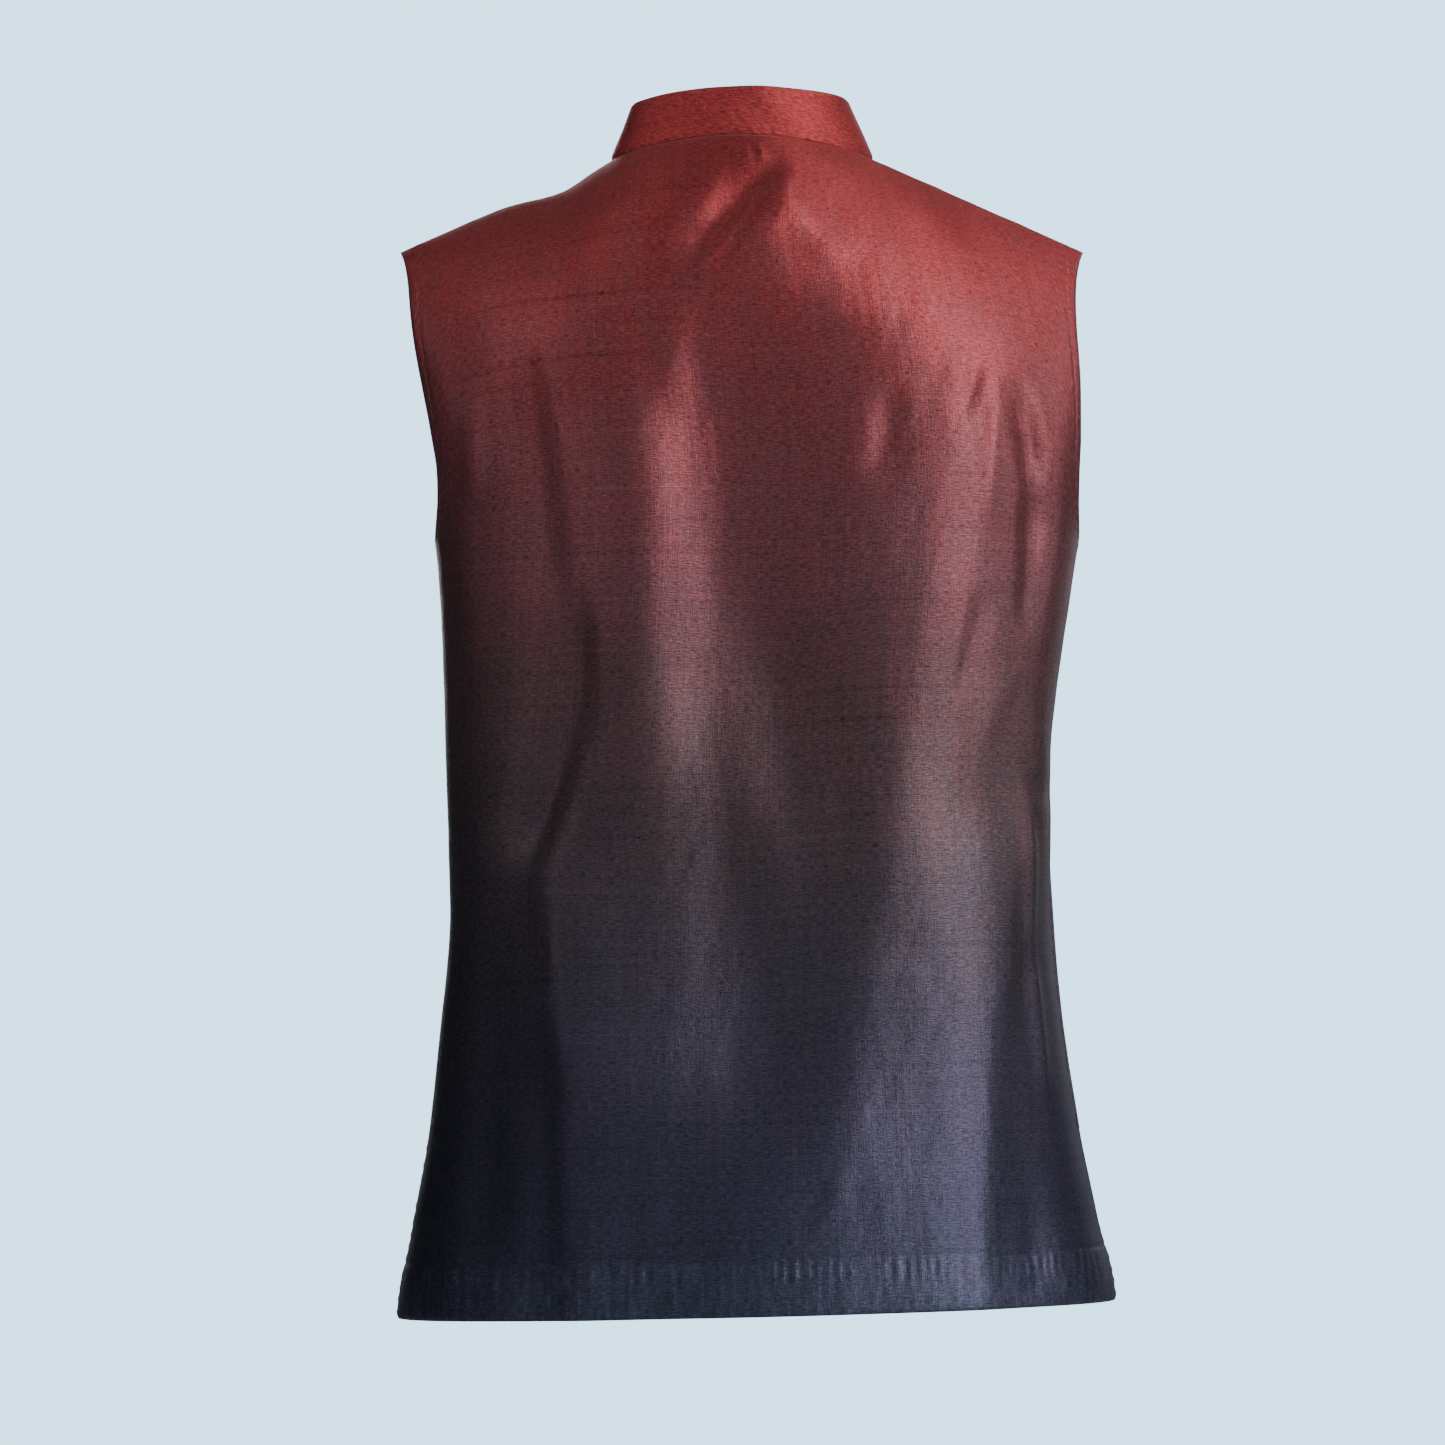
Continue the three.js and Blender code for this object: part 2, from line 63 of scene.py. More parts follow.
NECK_SHARE = 0.42
FRONT_NECK_DIP = 72
CENTRE_STRAIGHT = 0.25
EDGE_DRAW = 2.5
COLLAR_HEIGHT = 32
COLLAR_TOP_HALF = 66
COLLAR_TOP_SIDE = 36
COLLAR_TOP_CENTRE = {"back": (45, 39), "front": (-63, -44)}
COLLAR_END = 175
COLLAR_CORNER = 16
COLLAR_SEAT = 1.1
COLLAR_SEAT_BESIDE = 1.2
COLLAR_SEAT_FRONT = 0.8
COLLAR_SHIFT = 1
COLLAR_TILT = 0.02
COLLAR_LAP_WAY = np.array([0.0, -0.85, 0.52])
BUTTON_RADIUS = 9
BUTTON_THICKNESS = 3.2
BUTTON_EDGE = 0.9
BUTTON_CLEARANCE = 0.6
BUTTON_COUNT = 5
BUTTON_TOP = -106
BUTTON_SPACING = 108

# Sewing, which only the scene has. A turn is where an edge's stitches run, and a pucker is its pitch.
ARMHOLE_TURN = 9
EDGE_TURN = 7
HEM_PUCKER = 6.2
EDGE_PUCKER = 8.5
COLLAR_PUCKER = 7.5
COLLAR_STITCH = dict(pitch=3.1, length=2.4, radius=0.5)
COLLAR_STITCH_LIFT = 1.3
BUTTONHOLE_STITCH = dict(pitch=0.8, length=0.9, radius=0.32)
BUTTONHOLE_HALF = 11.5
BUTTONHOLE_SHIFT = 1.5
BUTTONHOLE_OPEN = 1.3
SEAM_CLOTH = 0.3
SIDE_SEAM_TOP = 0.995
SHOULDER_SEAM = (NECK_SHARE + 0.01, 0.965)
NECK_SEAM_END = 168

# Counts of rows, columns and points, and the seeds of the random draws
PANEL_ROWS = 250
BACK_HALF_COLUMNS = 171
LAP_COLUMNS = 14
FRONT_COLUMNS = 150
COLLAR_ROWS = 41
COLLAR_COLUMNS = 601
INNER_STEP = 4
CRUMPLES = 26
SHOULDER_SEAM_POINTS = 90
NECK_SEAM_POINTS = 401
BUTTON_SIDES = 48
STITCH_SIDES = 5
BACK_SEED = 11
FRONT_SEED = 21
HANDS = {"left": 1, "right": -1}

# Level sections of the body: height, half width, depth to the back, depth to the front, lean
SECTIONS = np.array([
    (-709, 221, 124, 121, -9),
    (-655, 211, 119, 119, -8),
    (-600, 200.5, 112, 117, -7.3),
    (-530, 191.5, 104, 115, -6),
    (-470, 186, 98, 115, -6),
    (-420, 185, 97, 117, -4.3),
    (-370, 185.5, 101, 121, -3.2),
    (-330, 188.3, 107, 125, -5),
    (-280, 193, 114, 129, -7.7),
    (-238, 198, 117, 131, -9),
    (-215, 203.5, 118, 131, -9.6),
    (-190, 210, 118, 130, -9.3),
    (-150, 218, 116, 128, -6),
    (-100, 226, 112, 126, -0.7),
    (-50, 228, 112, 126, 0),
], float)
HALF_WIDTH, DEPTH, LEAN = 1, {"back": 2, "front": 3}, 4

# Armhole edge: rise from underarm to shoulder tip, half width at the back, half width at the front
ARMHOLE = np.array([
    (0, 198, 198),
    (0.12, 196.5, 193),
    (0.25, 197, 188),
    (0.45, 202, 187),
    (0.7, 205, 193),
    (1, 211, 211),
], float)
ARMHOLE_COLUMN = {"back": 1, "front": 2}

FACES = {
    "back": dict(sign=1, fall=130, upright=0.62, level_neck=0.35, level_tip=0.35,
                 neck_depth=54, neck_drop=-8, neck_power=3, reach=90),
    "front": dict(sign=-1, fall=150, upright=0.55, level_neck=0.06, level_tip=0.25,
                  neck_depth=66, neck_drop=78, neck_power=1.1, reach=120),
}

# Folds: x and z of one end, x and z of the other, width towards +X, width towards -X, depth, and the share
# of the length over which each end fades
FOLDS = {
    "back": [
        (14, -90, -4, -420, 44, 60, -13, 0.3),
        (2, -300, -10, -660, 46, 46, -9, 0.35),
        (-14, -260, -48, -450, 36, 24, -6, 0.4),
        (68, -110, 60, -440, 24, 26, 4, 0.3),
        (-140, -110, -122, -360, 34, 26, 3.5, 0.35),
        (-116, -280, -50, -660, 32, 44, 4.5, 0.3),
        (139, -110, 110, -310, 38, 13, -5, 0.35),
        (106, -270, 97, -390, 40, 12, -4.5, 0.4),
        (99, -350, 134, -450, 26, 11, -4, 0.35),
        (117, -400, 101, -600, 15, 30, 5, 0.3),
        (102, -520, 97, -760, 15, 30, 5, 0.25),
        (152, -430, 158, -730, 20, 20, -4, 0.3),
        (-162, -390, -146, -560, 60, 17, 5, 0.3),
        (-148, -500, -137, -760, 50, 17, 4, 0.25),
        (-22, -530, -26, -830, 70, 82, 10, 0.35),
        (-182, -400, -176, -740, 24, 40, -3, 0.25),
        (-173, -150, -178, -270, 10, 10, -3.5, 0.4),
        (-14, -6, 40, -84, 17, 10, -4.6, 0.35),
        (-40, -6, -6, -72, 12, 12, 1.4, 0.4),
        (-68, -10, -42, -72, 12, 12, -1.8, 0.4),
        (-70, -10, -128, -56, 12, 12, 1.6, 0.4),
        (114, 70, 114, -110, 24, 24, -6, 0.5),
    ],
    "front": [
        (114, 70, 114, -110, 24, 24, -6, 0.5),
        (88, -150, 96, -360, 30, 30, -5, 0.35),
        (-90, -150, -100, -350, 30, 30, -5, 0.35),
        (98, -400, 112, -730, 20, 20, 5, 0.3),
        (142, -430, 156, -730, 18, 18, -5, 0.3),
        (-106, -410, -118, -730, 20, 20, 5, 0.3),
        (-150, -420, -160, -730, 18, 18, -5, 0.3),
        (110, -50, 150, -190, 16, 16, -3.5, 0.35),
        (-112, -50, -150, -185, 16, 16, -3.5, 0.35),
    ],
}

# Finer creases on top of the folds, in the same columns
CREASES = {
    "back": [
        (-147, -262, -128, -345, 6, 12, -2.0, 0.35),
        (-168, -306, -140, -374, 8, 8, 1.4, 0.4),
        (-164, -138, -183, -216, 10, 8, -4.4, 0.35),
        (-183, -194, -171, -310, 10, 8, -4.6, 0.35),
        (-135, -100, -118, -310, 36, 28, -1.5, 0.35),
        (-90, -440, -92, -650, 30, 34, -2.2, 0.3),
        (60, -520, 60, -695, 30, 20, 1.5, 0.3),
        (8, -280, -18, -520, 16, 20, 2.3, 0.3),
        (-182, -310, -180, -500, 13, 8, 2.6, 0.35),
        (-168, -360, -184, -404, 7, 7, -1.6, 0.4),
        (-156, -140, -146, -236, 7, 7, 1.5, 0.35),
        (163, -146, 163, -228, 7, 5, 1.8, 0.35),
        (133, -100, 114, -240, 14, 7, -2.0, 0.4),
        (98, -262, 95, -352, 13, 7, -2.2, 0.4),
        (95, -320, 134, -452, 15, 8, -2.8, 0.35),
        (-147, -124, -129, -176, 5, 5, -1.3, 0.4),
        (-142, -26, -136, -66, 8, 9, -1.0, 0.4),
        (-171, -395, -178, -500, 5, 3.5, 2.2, 0.3),
        (-177, -480, -188, -585, 5, 3.5, 2.0, 0.3),
        (44, -85, 44, -170, 10, 12, 1.2, 0.35),
        (-72, -150, -60, -230, 11, 13, 1.0, 0.4),
        (-90, -140, -84, -215, 10, 10, -1.1, 0.4),
        (-76, -616, -58, -642, 7, 7, -0.5, 0.4),
        (-73, -610, -40, -668, 8, 8, 0.7, 0.4),
        (-10, -380, -36, -500, 12, 12, 1.2, 0.4),
        (-16, -24, -66, -84, 10, 14, 1.6, 0.35),
        (-24, 2, 46, -90, 18, 14, -3.6, 0.35),
        (-32, -4, 27, -56, 9, 8, -2.4, 0.3),
        (-52, -4, -28, -44, 6, 6, -1.3, 0.4),
        (-166, -630, -164, -712, 8, 8, 0.6, 0.4),
        (-192, -640, -196, -712, 8, 8, 0.5, 0.4),
        (-4, 2, -10, -10, 2, 2, -1.0, 0.4),
        (-7, 2, -14, -9, 2, 2, 0.8, 0.4),
    ],
    "front": [
        (60, -95, 92, -185, 9, 9, 1.4, 0.35),
        (-62, -95, -94, -180, 9, 9, 1.4, 0.35),
        (40, -330, 34, -470, 8, 10, -1.0, 0.35),
        (-52, -350, -44, -520, 9, 8, 1.0, 0.35),
        (150, -250, 128, -345, 7, 9, -1.3, 0.35),
        (-152, -246, -130, -340, 7, 9, -1.3, 0.35),
        (64, -520, 70, -690, 9, 7, 1.2, 0.3),
        (-80, -500, -86, -680, 9, 7, -1.1, 0.3),
    ],
}

MM = 0.001
RIGHT_ANGLE = math.pi / 2


def smooth(t):
    t = np.clip(t, 0, 1)
    return t * t * (3 - 2 * t)


def mix(a, b, t):
    return a + (b - a) * t


def track(table, column, at):
    """Smooth curve through one column of a table, held level past its ends."""
    keys, values = table[:, 0], table[:, column]
    slope = np.zeros(len(keys))
    slope[1:-1] = (values[2:] - values[:-2]) / (keys[2:] - keys[:-2])
    at = np.clip(at, keys[0], keys[-1])
    i = np.clip(np.searchsorted(keys, at, side="right") - 1, 0, len(keys) - 2)
    span = keys[i + 1] - keys[i]
    t = (at - keys[i]) / span
    bend = slope[i] * (1 - t) - slope[i + 1] * t
    return values[i] + (values[i + 1] - values[i]) * t * t * (3 - 2 * t) + span * t * (1 - t) * bend


def lean(z):
    """How far the figure's middle is to one side at a height."""
    return track(SECTIONS, LEAN, z)


def ridge_height(x, face):
    """Height of the shoulder line above each point across the body."""
    x = np.abs(x)
    line = SHOULDER_DROP / (SHOULDER_HALF - NECK_HALF) * (
        np.hypot(NECK_HALF, RIDGE_ROUND) - np.hypot(x, RIDGE_ROUND))
    if face == "back":
        return line
    return line - FRONT_NECK_DIP * np.cos(RIGHT_ANGLE * np.clip(x / NECK_HALF, 0, 1))


def along_share(x, half_width):
    """How deep a section is at x, as a share of its depth on the centre line."""
    across = np.clip(np.abs(x) / half_width, 0, 1)
    return (1 - across ** SQUARENESS) ** (1 / SQUARENESS)


def angle_at(x, half_width):
    """Angle round a section at which its half width is x."""
    across = np.clip(np.abs(x) / half_width, 0, 1)
    return np.sign(x) * np.arctan2(across, along_share(x, half_width))


def over_shoulder(x, depth, face, t):
    """A point over the shoulder: t is 0 on the upright body and 1 at the shoulder line."""
    f = FACES[face]
    level = mix(f["level_neck"], f["level_tip"], smooth((np.abs(x) - NECK_HALF / 2) / NECK_HALF))
    s = 1 - t
    out = s ** 3 + 3 * s * s * t + 3 * s * t * t * level
    down = s ** 3 + 3 * s * s * t * (1 - f["upright"])
    return RIDGE_Y + (depth - RIDGE_Y) * out, ridge_height(x, face) - f["fall"] * down


def shoulder_length(depth, face):
    """About how long the cloth is from the upright body to the shoulder line."""
    return 0.96 * np.hypot(depth - RIDGE_Y, FACES[face]["fall"]) + 0.1 * np.abs(depth)


def figure(face, angle, height):
    """The figure's surface at an angle round the body and a height measured along the cloth."""
    f = FACES[face]
    across, along = np.abs(np.sin(angle)), np.abs(np.cos(angle))
    swell = (across ** SQUARENESS + along ** SQUARENESS) ** (-1 / SQUARENESS)
    x = track(SECTIONS, HALF_WIDTH, height) * swell * np.sin(angle)
    depth = f["sign"] * track(SECTIONS, DEPTH[face], height) * swell * np.cos(angle)
    bend = height - (ridge_height(x, face) - f["fall"])
    t = np.clip(bend / shoulder_length(depth, face), 0, 1)
    y, z = over_shoulder(x, depth, face, t)
    return x, np.where(bend > 0, y, depth), np.where(bend > 0, z, height)


def neckline(face, turn):
    """The neckline, from the centre (turn 0) to the shoulder seam (turn of a right angle)."""
    f = FACES[face]
    centre = np.cos(turn)
    drop = f["neck_drop"] * np.clip(centre, 0, 1) ** f["neck_power"]
    return NECK_HALF * np.sin(turn), RIDGE_Y + f["sign"] * f["neck_depth"] * centre, -drop


def top_of(face, u):
    """A column's end at the neckline or the shoulder seam: x, height and the last shift."""
    f = FACES[face]
    u = np.asarray(u, float)
    widest = SECTIONS[-1, HALF_WIDTH]
    on_neck = np.abs(u) < NECK_SHARE
    turn = RIGHT_ANGLE * np.clip(u / NECK_SHARE, -1, 1)
    beyond = (np.abs(u) - NECK_SHARE) / (1 - NECK_SHARE)
    x = np.where(on_neck, NECK_HALF * np.sin(turn), mix(NECK_HALF, SHOULDER_HALF, beyond))
    depth = f["sign"] * SECTIONS[-1, DEPTH[face]] * along_share(x, widest)
    goal_x, goal_y, goal_z = neckline(face, turn)
    low, high = np.zeros_like(x), np.ones_like(x)
    for _ in range(30):
        t = (low + high) / 2
        y, z = over_shoulder(x, depth, face, t)
        further = np.abs(y - RIDGE_Y) > np.abs(goal_y - RIDGE_Y)
        low, high = np.where(further, t, low), np.where(further, high, t)
    y, z = over_shoulder(x, depth, face, low)
    seam = f["sign"] * SEAM_GAP / 2
    length = shoulder_length(depth, face) * np.where(on_neck, low, 1)
    height = ridge_height(x, face) - f["fall"] + length
    zero = np.zeros_like(x)
    shift = [np.where(on_neck, g, zero) for g in (goal_x - x, goal_y - y, goal_z - z)]
    return x, height, (shift[0], shift[1] + seam, shift[2])


def plain_cloth(face, u, level):
    """Unfolded cloth of one half: u from the centre (0) to the armhole (1), level from the hem (0) to the
    underarm (1) and on to the neckline and shoulder seam (2)."""
    f = FACES[face]
    top_x, top_height, shift = top_of(face, u)
    tip_height = top_of(face, 1.0)[1]
    body = level <= 1
    rise = np.clip(level - 1, 0, 1)
    height = np.where(body, mix(HEM, UNDERARM, level), mix(UNDERARM, top_height, rise))
    edge_height = np.where(body, height, mix(UNDERARM, tip_height, rise))
    edge_x = track(ARMHOLE, ARMHOLE_COLUMN[face], rise)
    gap = SEAM_GAP / 2 + VENT_GAP / 2 * np.clip((HEM + VENT_LENGTH - height) / VENT_LENGTH, 0, 1)
    edge_angle = np.where(body, RIGHT_ANGLE, angle_at(edge_x, track(SECTIONS, HALF_WIDTH, edge_height)))
    edge = edge_angle - (1 - rise) * gap / track(SECTIONS, DEPTH[face], edge_height)
    straight = 1 - smooth(np.abs(u) / CENTRE_STRAIGHT)
    follow = 1 - (1 - smooth(rise)) * (1 - straight)
    beyond = np.clip((np.abs(u) - NECK_SHARE) / (1 - NECK_SHARE), 0, 1)
    goal_x = top_x + (edge_x - SHOULDER_HALF) * beyond
    drawn = u * RIGHT_ANGLE - (RIGHT_ANGLE - edge) * np.abs(u) ** EDGE_DRAW
    angle = mix(drawn, angle_at(goal_x, track(SECTIONS, HALF_WIDTH, height)), follow)
    x, y, z = figure(face, angle, height)
    pull = np.where(body, 0, smooth(1 - (top_height - height) / f["reach"]))
    return np.stack([x + shift[0] * pull, y + shift[1] * pull, z + shift[2] * pull], -1)


def fold_depth(table, x, z):
    """How far the folds of a table stand out from the cloth."""
    depth = np.zeros_like(x)
    for x1, z1, x2, z2, plus, minus, height, fade in table:
        length = math.hypot(x2 - x1, z2 - z1)
        ax, az = (x2 - x1) / length, (z2 - z1) / length
        along = ((x - x1) * ax + (z - z1) * az) / length
        aside = (x - x1) * az - (z - z1) * ax
        width = np.where(aside < 0, plus, minus)
        ends = smooth(along / fade) * smooth((1 - along) / fade)
        depth += height * ends * np.exp(-(aside / width) ** 2)
    return depth


def normals_of(grid):
    """Unit normals of a grid of points, rows by columns."""
    across = np.gradient(grid, axis=1)
    up = np.gradient(grid, axis=0)
    normal = np.cross(across, up)
    return normal / np.maximum(np.linalg.norm(normal, axis=-1, keepdims=True), 1e-9)


def run_lengths(grid, axis):
    """Length of cloth from the first row or column to each point."""
    step = np.linalg.norm(np.diff(grid, axis=axis), axis=-1)
    zero = np.zeros_like(np.take(step, [0], axis=axis))
    return np.concatenate([zero, np.cumsum(step, axis=axis)], axis=axis)


def sample(grid, rows, columns):
    """Points of a grid at fractional rows and columns."""
    i = np.clip(np.floor(rows).astype(int), 0, grid.shape[0] - 2)
    j = np.clip(np.floor(columns).astype(int), 0, grid.shape[1] - 2)
    a, b = (rows - i)[:, None], (columns - j)[:, None]
    low = grid[i, j] * (1 - b) + grid[i, j + 1] * b
    high = grid[i + 1, j] * (1 - b) + grid[i + 1, j + 1] * b
    return low * (1 - a) + high * a


def along_row(grid, row, columns):
    """Points of one row of a grid at fractional columns. A row below 0 counts from the last one."""
    return sample(grid, np.full(len(columns), row % grid.shape[0]), columns)


def soft_noise(x, z, seed, count, size_x, size_z):
    """Smooth uneven field of about -1 to 1, from waves of mixed lengths and directions."""
    draw = np.random.default_rng(seed)
    field = np.zeros_like(x)
    for _ in range(count):
        kx = 2 * math.pi / (size_x * draw.uniform(0.6, 1.8)) * draw.choice([-1, 1])
        kz = 2 * math.pi / (size_z * draw.uniform(0.6, 1.8))
        field += np.sin(kx * x + kz * z + draw.uniform(0, 2 * math.pi))
    return field / math.sqrt(count)


def crumples(seed, count):
    """Small soft wrinkles in the columns of FOLDS, mostly upright."""
    draw = np.random.default_rng(seed)
    table = []
    for _ in range(count):
        x, z = draw.uniform(-190, 190), draw.uniform(-690, -70)
        length, slant = draw.uniform(50, 170), draw.normal(0, 0.28)
        width, depth = draw.uniform(7, 14), draw.uniform(0.1, 0.35) * draw.choice([-1, 1])
        x2, z2 = x + length * math.sin(slant), z - length * math.cos(slant)
        table.append((x, z, x2, z2, width, width * draw.uniform(0.6, 1.6), depth, 0.4))
    return table


def uneven(along, seed, size):
    """Smooth uneven field that changes along one way only."""
    return soft_noise(along, along * 0, seed, 6, size, 1e9)


def puckers(along, pitch, sway, seed, size):
    """Waves of cloth drawn up by stitches, pushed to and fro by an uneven field times a sway."""
    return np.sin(2 * math.pi * along / pitch + sway * uneven(along, seed, size))


def band(distance, centre, width):
    """A soft band round a distance: 1 in its middle, 0 well beyond its width."""
    return np.exp(-((distance - centre) / width) ** 2)


def fallen(distance, width):
    """How far a rounded edge has fallen away: 1 at the edge, 0 from a width inside it."""
    return 1 - smooth(distance / width)


def sewn_edges(across, rise, to_edge, to_lap, seed):
    """Relief of the turned and stitched edges: hem, armhole and vent, and front edge. Each has a groove at
    its stitches and a rounded rim, the hem and the armhole and vent have puckers too, and the hem's stitches
    pull most across the middle."""
    firm = mix(0.35, 1, smooth((150 - np.abs(across + 16)) / 40))
    groups = 0.65 + 0.5 * uneven(across, seed + 7, 70)
    gathers = puckers(across, HEM_PUCKER, 2.2, seed, 40) * groups
    relief = 0.5 * firm * gathers * band(rise, HEM_TURN_UP - 8, 7)
    relief -= 0.45 * band(rise, HEM_TURN_UP, 1.3)
    relief += 0.25 * fallen(rise - HEM_TURN_UP + 2, 3)
    relief -= 0.7 * fallen(rise, 2.5)
    relief += 0.38 * puckers(rise, EDGE_PUCKER, 2, seed + 1, 45) * band(to_edge, ARMHOLE_TURN + 1, 4)
    relief -= 0.35 * band(to_edge, ARMHOLE_TURN, 1.2)
    relief -= 1.1 * fallen(to_edge, 3.5)
    if to_lap is not None:
        relief -= 0.3 * band(to_lap, EDGE_TURN, 1.1)
        relief -= 0.6 * fallen(to_lap, 2.5)
    return relief


def level_steps(count):
    """Levels of the rows: close together at the turned-up hem and just above the underarm."""
    hem_share, body_share, ease = 0.1, 0.5, 0.2
    turn_up = (HEM_TURN_UP + 3) / (UNDERARM - HEM)
    hem_rows = int(count * hem_share)
    body_rows = int(count * body_share)
    yoke_rows = count - hem_rows - body_rows
    t = np.arange(1, yoke_rows + 1) / yoke_rows
    return np.concatenate([
        np.linspace(0, turn_up, hem_rows, endpoint=False),
        np.linspace(turn_up, 1, body_rows, endpoint=False),
        [1.0],
        1 + (1 + ease) * t * t / (t + ease),
    ])


def lap_shift(x, z):
    """How far the left front moves outwards, and the right one inwards, where they lap."""
    from_centre = np.abs(x - lean(z))
    return (1 - smooth((from_centre - LAP - 2) / LAP_FADE)) * LAP_SHIFT


def plain_panel(face, side, place, level):
    """Outer points of a panel before its folds. The back takes both halves, a front the half on its side."""
    whole = face == "back"
    u = np.abs(place) if whole else place
    hand = np.where(place < 0, -1, 1) if whole else side
    grid = plain_cloth(face, u, level)
    grid[..., 0] = hand * grid[..., 0] + lean(grid[..., 2])
    grid[..., 2] -= HEM_TILT * grid[..., 0] * smooth((grid[..., 2] - UNDERARM) / (HEM - UNDERARM))
    return grid


def free_edge(run, level, whole):
    """Distance along the cloth to the nearest side edge, made long where a seam holds that edge."""
    to_edge = run[:, -1:] - run
    if whole:
        to_edge = np.minimum(to_edge, run)
    far, fade, shoulder_level = 100, 0.01, 1.985
    side_seam = smooth((1 - level) / fade) * smooth((level - VENT_LENGTH / (UNDERARM - HEM)) / fade)
    shoulder_seam = smooth((level - shoulder_level) / fade)
    return to_edge + far * side_seam + far * shoulder_seam


def fine_relief(face, x, z, seed):
    """Finer creases, small wrinkles and the unevenness of the cloth."""
    relief = fold_depth(CREASES[face] + crumples(seed, CRUMPLES), x, z)
    relief += 0.12 * soft_noise(x, z, seed + 2, 14, 40, 110)
    relief += 0.045 * soft_noise(x, z, seed + 3, 14, 12, 34)
    return relief


def panel(face, side, places, levels, seed):
    """Outer points, outward normals and cloth coordinates of a whole panel, rows by columns."""
    place, level = np.meshgrid(places, levels)
    whole = face == "back"
    turned = -FACES[face]["sign"] * side
    grid = plain_panel(face, side, place, level)
    normal = turned * normals_of(grid)
    x, z = grid[..., 0], grid[..., 2]
    relief = fold_depth(FOLDS[face], x, z)
    if not whole:
        relief += side * lap_shift(x, z)
    grid = grid + normal * relief[..., None]
    run = run_lengths(grid, 1)
    rise = run_lengths(grid, 0)
    across = run - run[:, [np.argmin(np.abs(places))]]
    to_edge = free_edge(run, level, whole)
    to_top = rise[-1:] - rise
    calm = smooth(to_edge / 12) * smooth(to_top)
    relief = fine_relief(face, x, z, seed) * mix(0.25, 1, calm)
    relief += sewn_edges(across, rise, to_edge, None if whole else run, seed)
    grid = grid + normal * (relief * mix(0.15, 1, smooth(to_top / 8)))[..., None]
    return grid, turned * normals_of(grid), np.stack([across, rise], -1)


def every(count, step):
    """Numbers below a count, a step apart, and always the last one."""
    picked = list(range(0, count, step))
    if picked[-1] != count - 1:
        picked.append(count - 1)
    return picked


def sheet_faces(rows, columns, ri, ci):
    """Faces of a closed sheet: fine outside, coarser inside on rows ri and columns ci, and the rims."""
    base = rows * columns
    last_a, last_b = len(ri) - 1, len(ci) - 1

    def fine(i, j):
        return i * columns + j

    def coarse(a, b):
        return base + a * len(ci) + b

    faces = []
    for i in range(rows - 1):
        for j in range(columns - 1):
            faces.append((fine(i, j), fine(i, j + 1), fine(i + 1, j + 1), fine(i + 1, j)))
    for a in range(last_a):
        for b in range(last_b):
            faces.append((coarse(a, b), coarse(a + 1, b), coarse(a + 1, b + 1), coarse(a, b + 1)))
    for b in range(last_b):
        low = [fine(0, j) for j in range(ci[b], ci[b + 1] + 1)]
        faces.append((*reversed(low), coarse(0, b), coarse(0, b + 1)))
        high = [fine(rows - 1, j) for j in range(ci[b], ci[b + 1] + 1)]
        faces.append((*high, coarse(last_a, b + 1), coarse(last_a, b)))
    for a in range(last_a):
        left = [fine(i, 0) for i in range(ri[a], ri[a + 1] + 1)]
        faces.append((*left, coarse(a + 1, 0), coarse(a, 0)))
        right = [fine(i, columns - 1) for i in range(ri[a], ri[a + 1] + 1)]
        faces.append((*reversed(right), coarse(a, last_b), coarse(a + 1, last_b)))
    return faces


def shell(name, grid, normal, cloth, wall_out, wall_in, flip, material, step=INNER_STEP):
    """A closed sheet of cloth: a fine outer face, a coarser inner face, and rims that join them."""
    rows, columns = grid.shape[:2]
    ri, ci = every(rows, step), every(columns, step)
    outer = grid + normal * wall_out
    inner = (grid - normal * wall_in)[np.ix_(ri, ci)]
    points = np.concatenate([outer.reshape(-1, 3), inner.reshape(-1, 3)]) * MM
    coords = np.concatenate([cloth.reshape(-1, 2), cloth[np.ix_(ri, ci)].reshape(-1, 2)]) * MM
    faces = sheet_faces(rows, columns, ri, ci)
    if flip:
        faces = [tuple(reversed(f)) for f in faces]
    return solid(name, points, faces, material, coords)


def inner_wall(rise):
    """How far a panel's wall reaches inwards: further where the hem is turned up."""
    return np.where(rise < HEM_TURN_UP, WALL / 2 + HEM_EXTRA, WALL / 2)[..., None]


def solid(name, points, faces, material, coords=None):
    """A smooth mesh object on the root body, with its cloth coordinates as a UV map."""
    mesh = bpy.data.meshes.new(name)
    mesh.from_pydata(points.tolist(), [], faces)
    mesh.polygons.foreach_set("use_smooth", np.ones(len(mesh.polygons), bool))
    if coords is not None:
        layer = mesh.uv_layers.new(name="cloth")
        index = np.zeros(len(mesh.loops), np.int32)
        mesh.loops.foreach_get("vertex_index", index)
        layer.data.foreach_set("uv", coords[index].astype(np.float32).ravel())
    mesh.materials.append(material)
    mesh.update()
    obj = bpy.data.objects.new(name, mesh)
    bpy.context.scene.collection.objects.link(obj)
    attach(obj, "root")
    return obj


def tube_faces(first, rings, sides):
    """Faces of a tube of rings of points, closed at both ends."""
    faces = []
    for ring in range(rings - 1):
        for k in range(sides):
            a, b = first + ring * sides, (k + 1) % sides
            faces.append((a + k, a + b, a + sides + b, a + sides + k))
    faces.append(tuple(first + k for k in reversed(range(sides))))
    faces.append(tuple(first + (rings - 1) * sides + k for k in range(sides)))
    return faces


# Collar

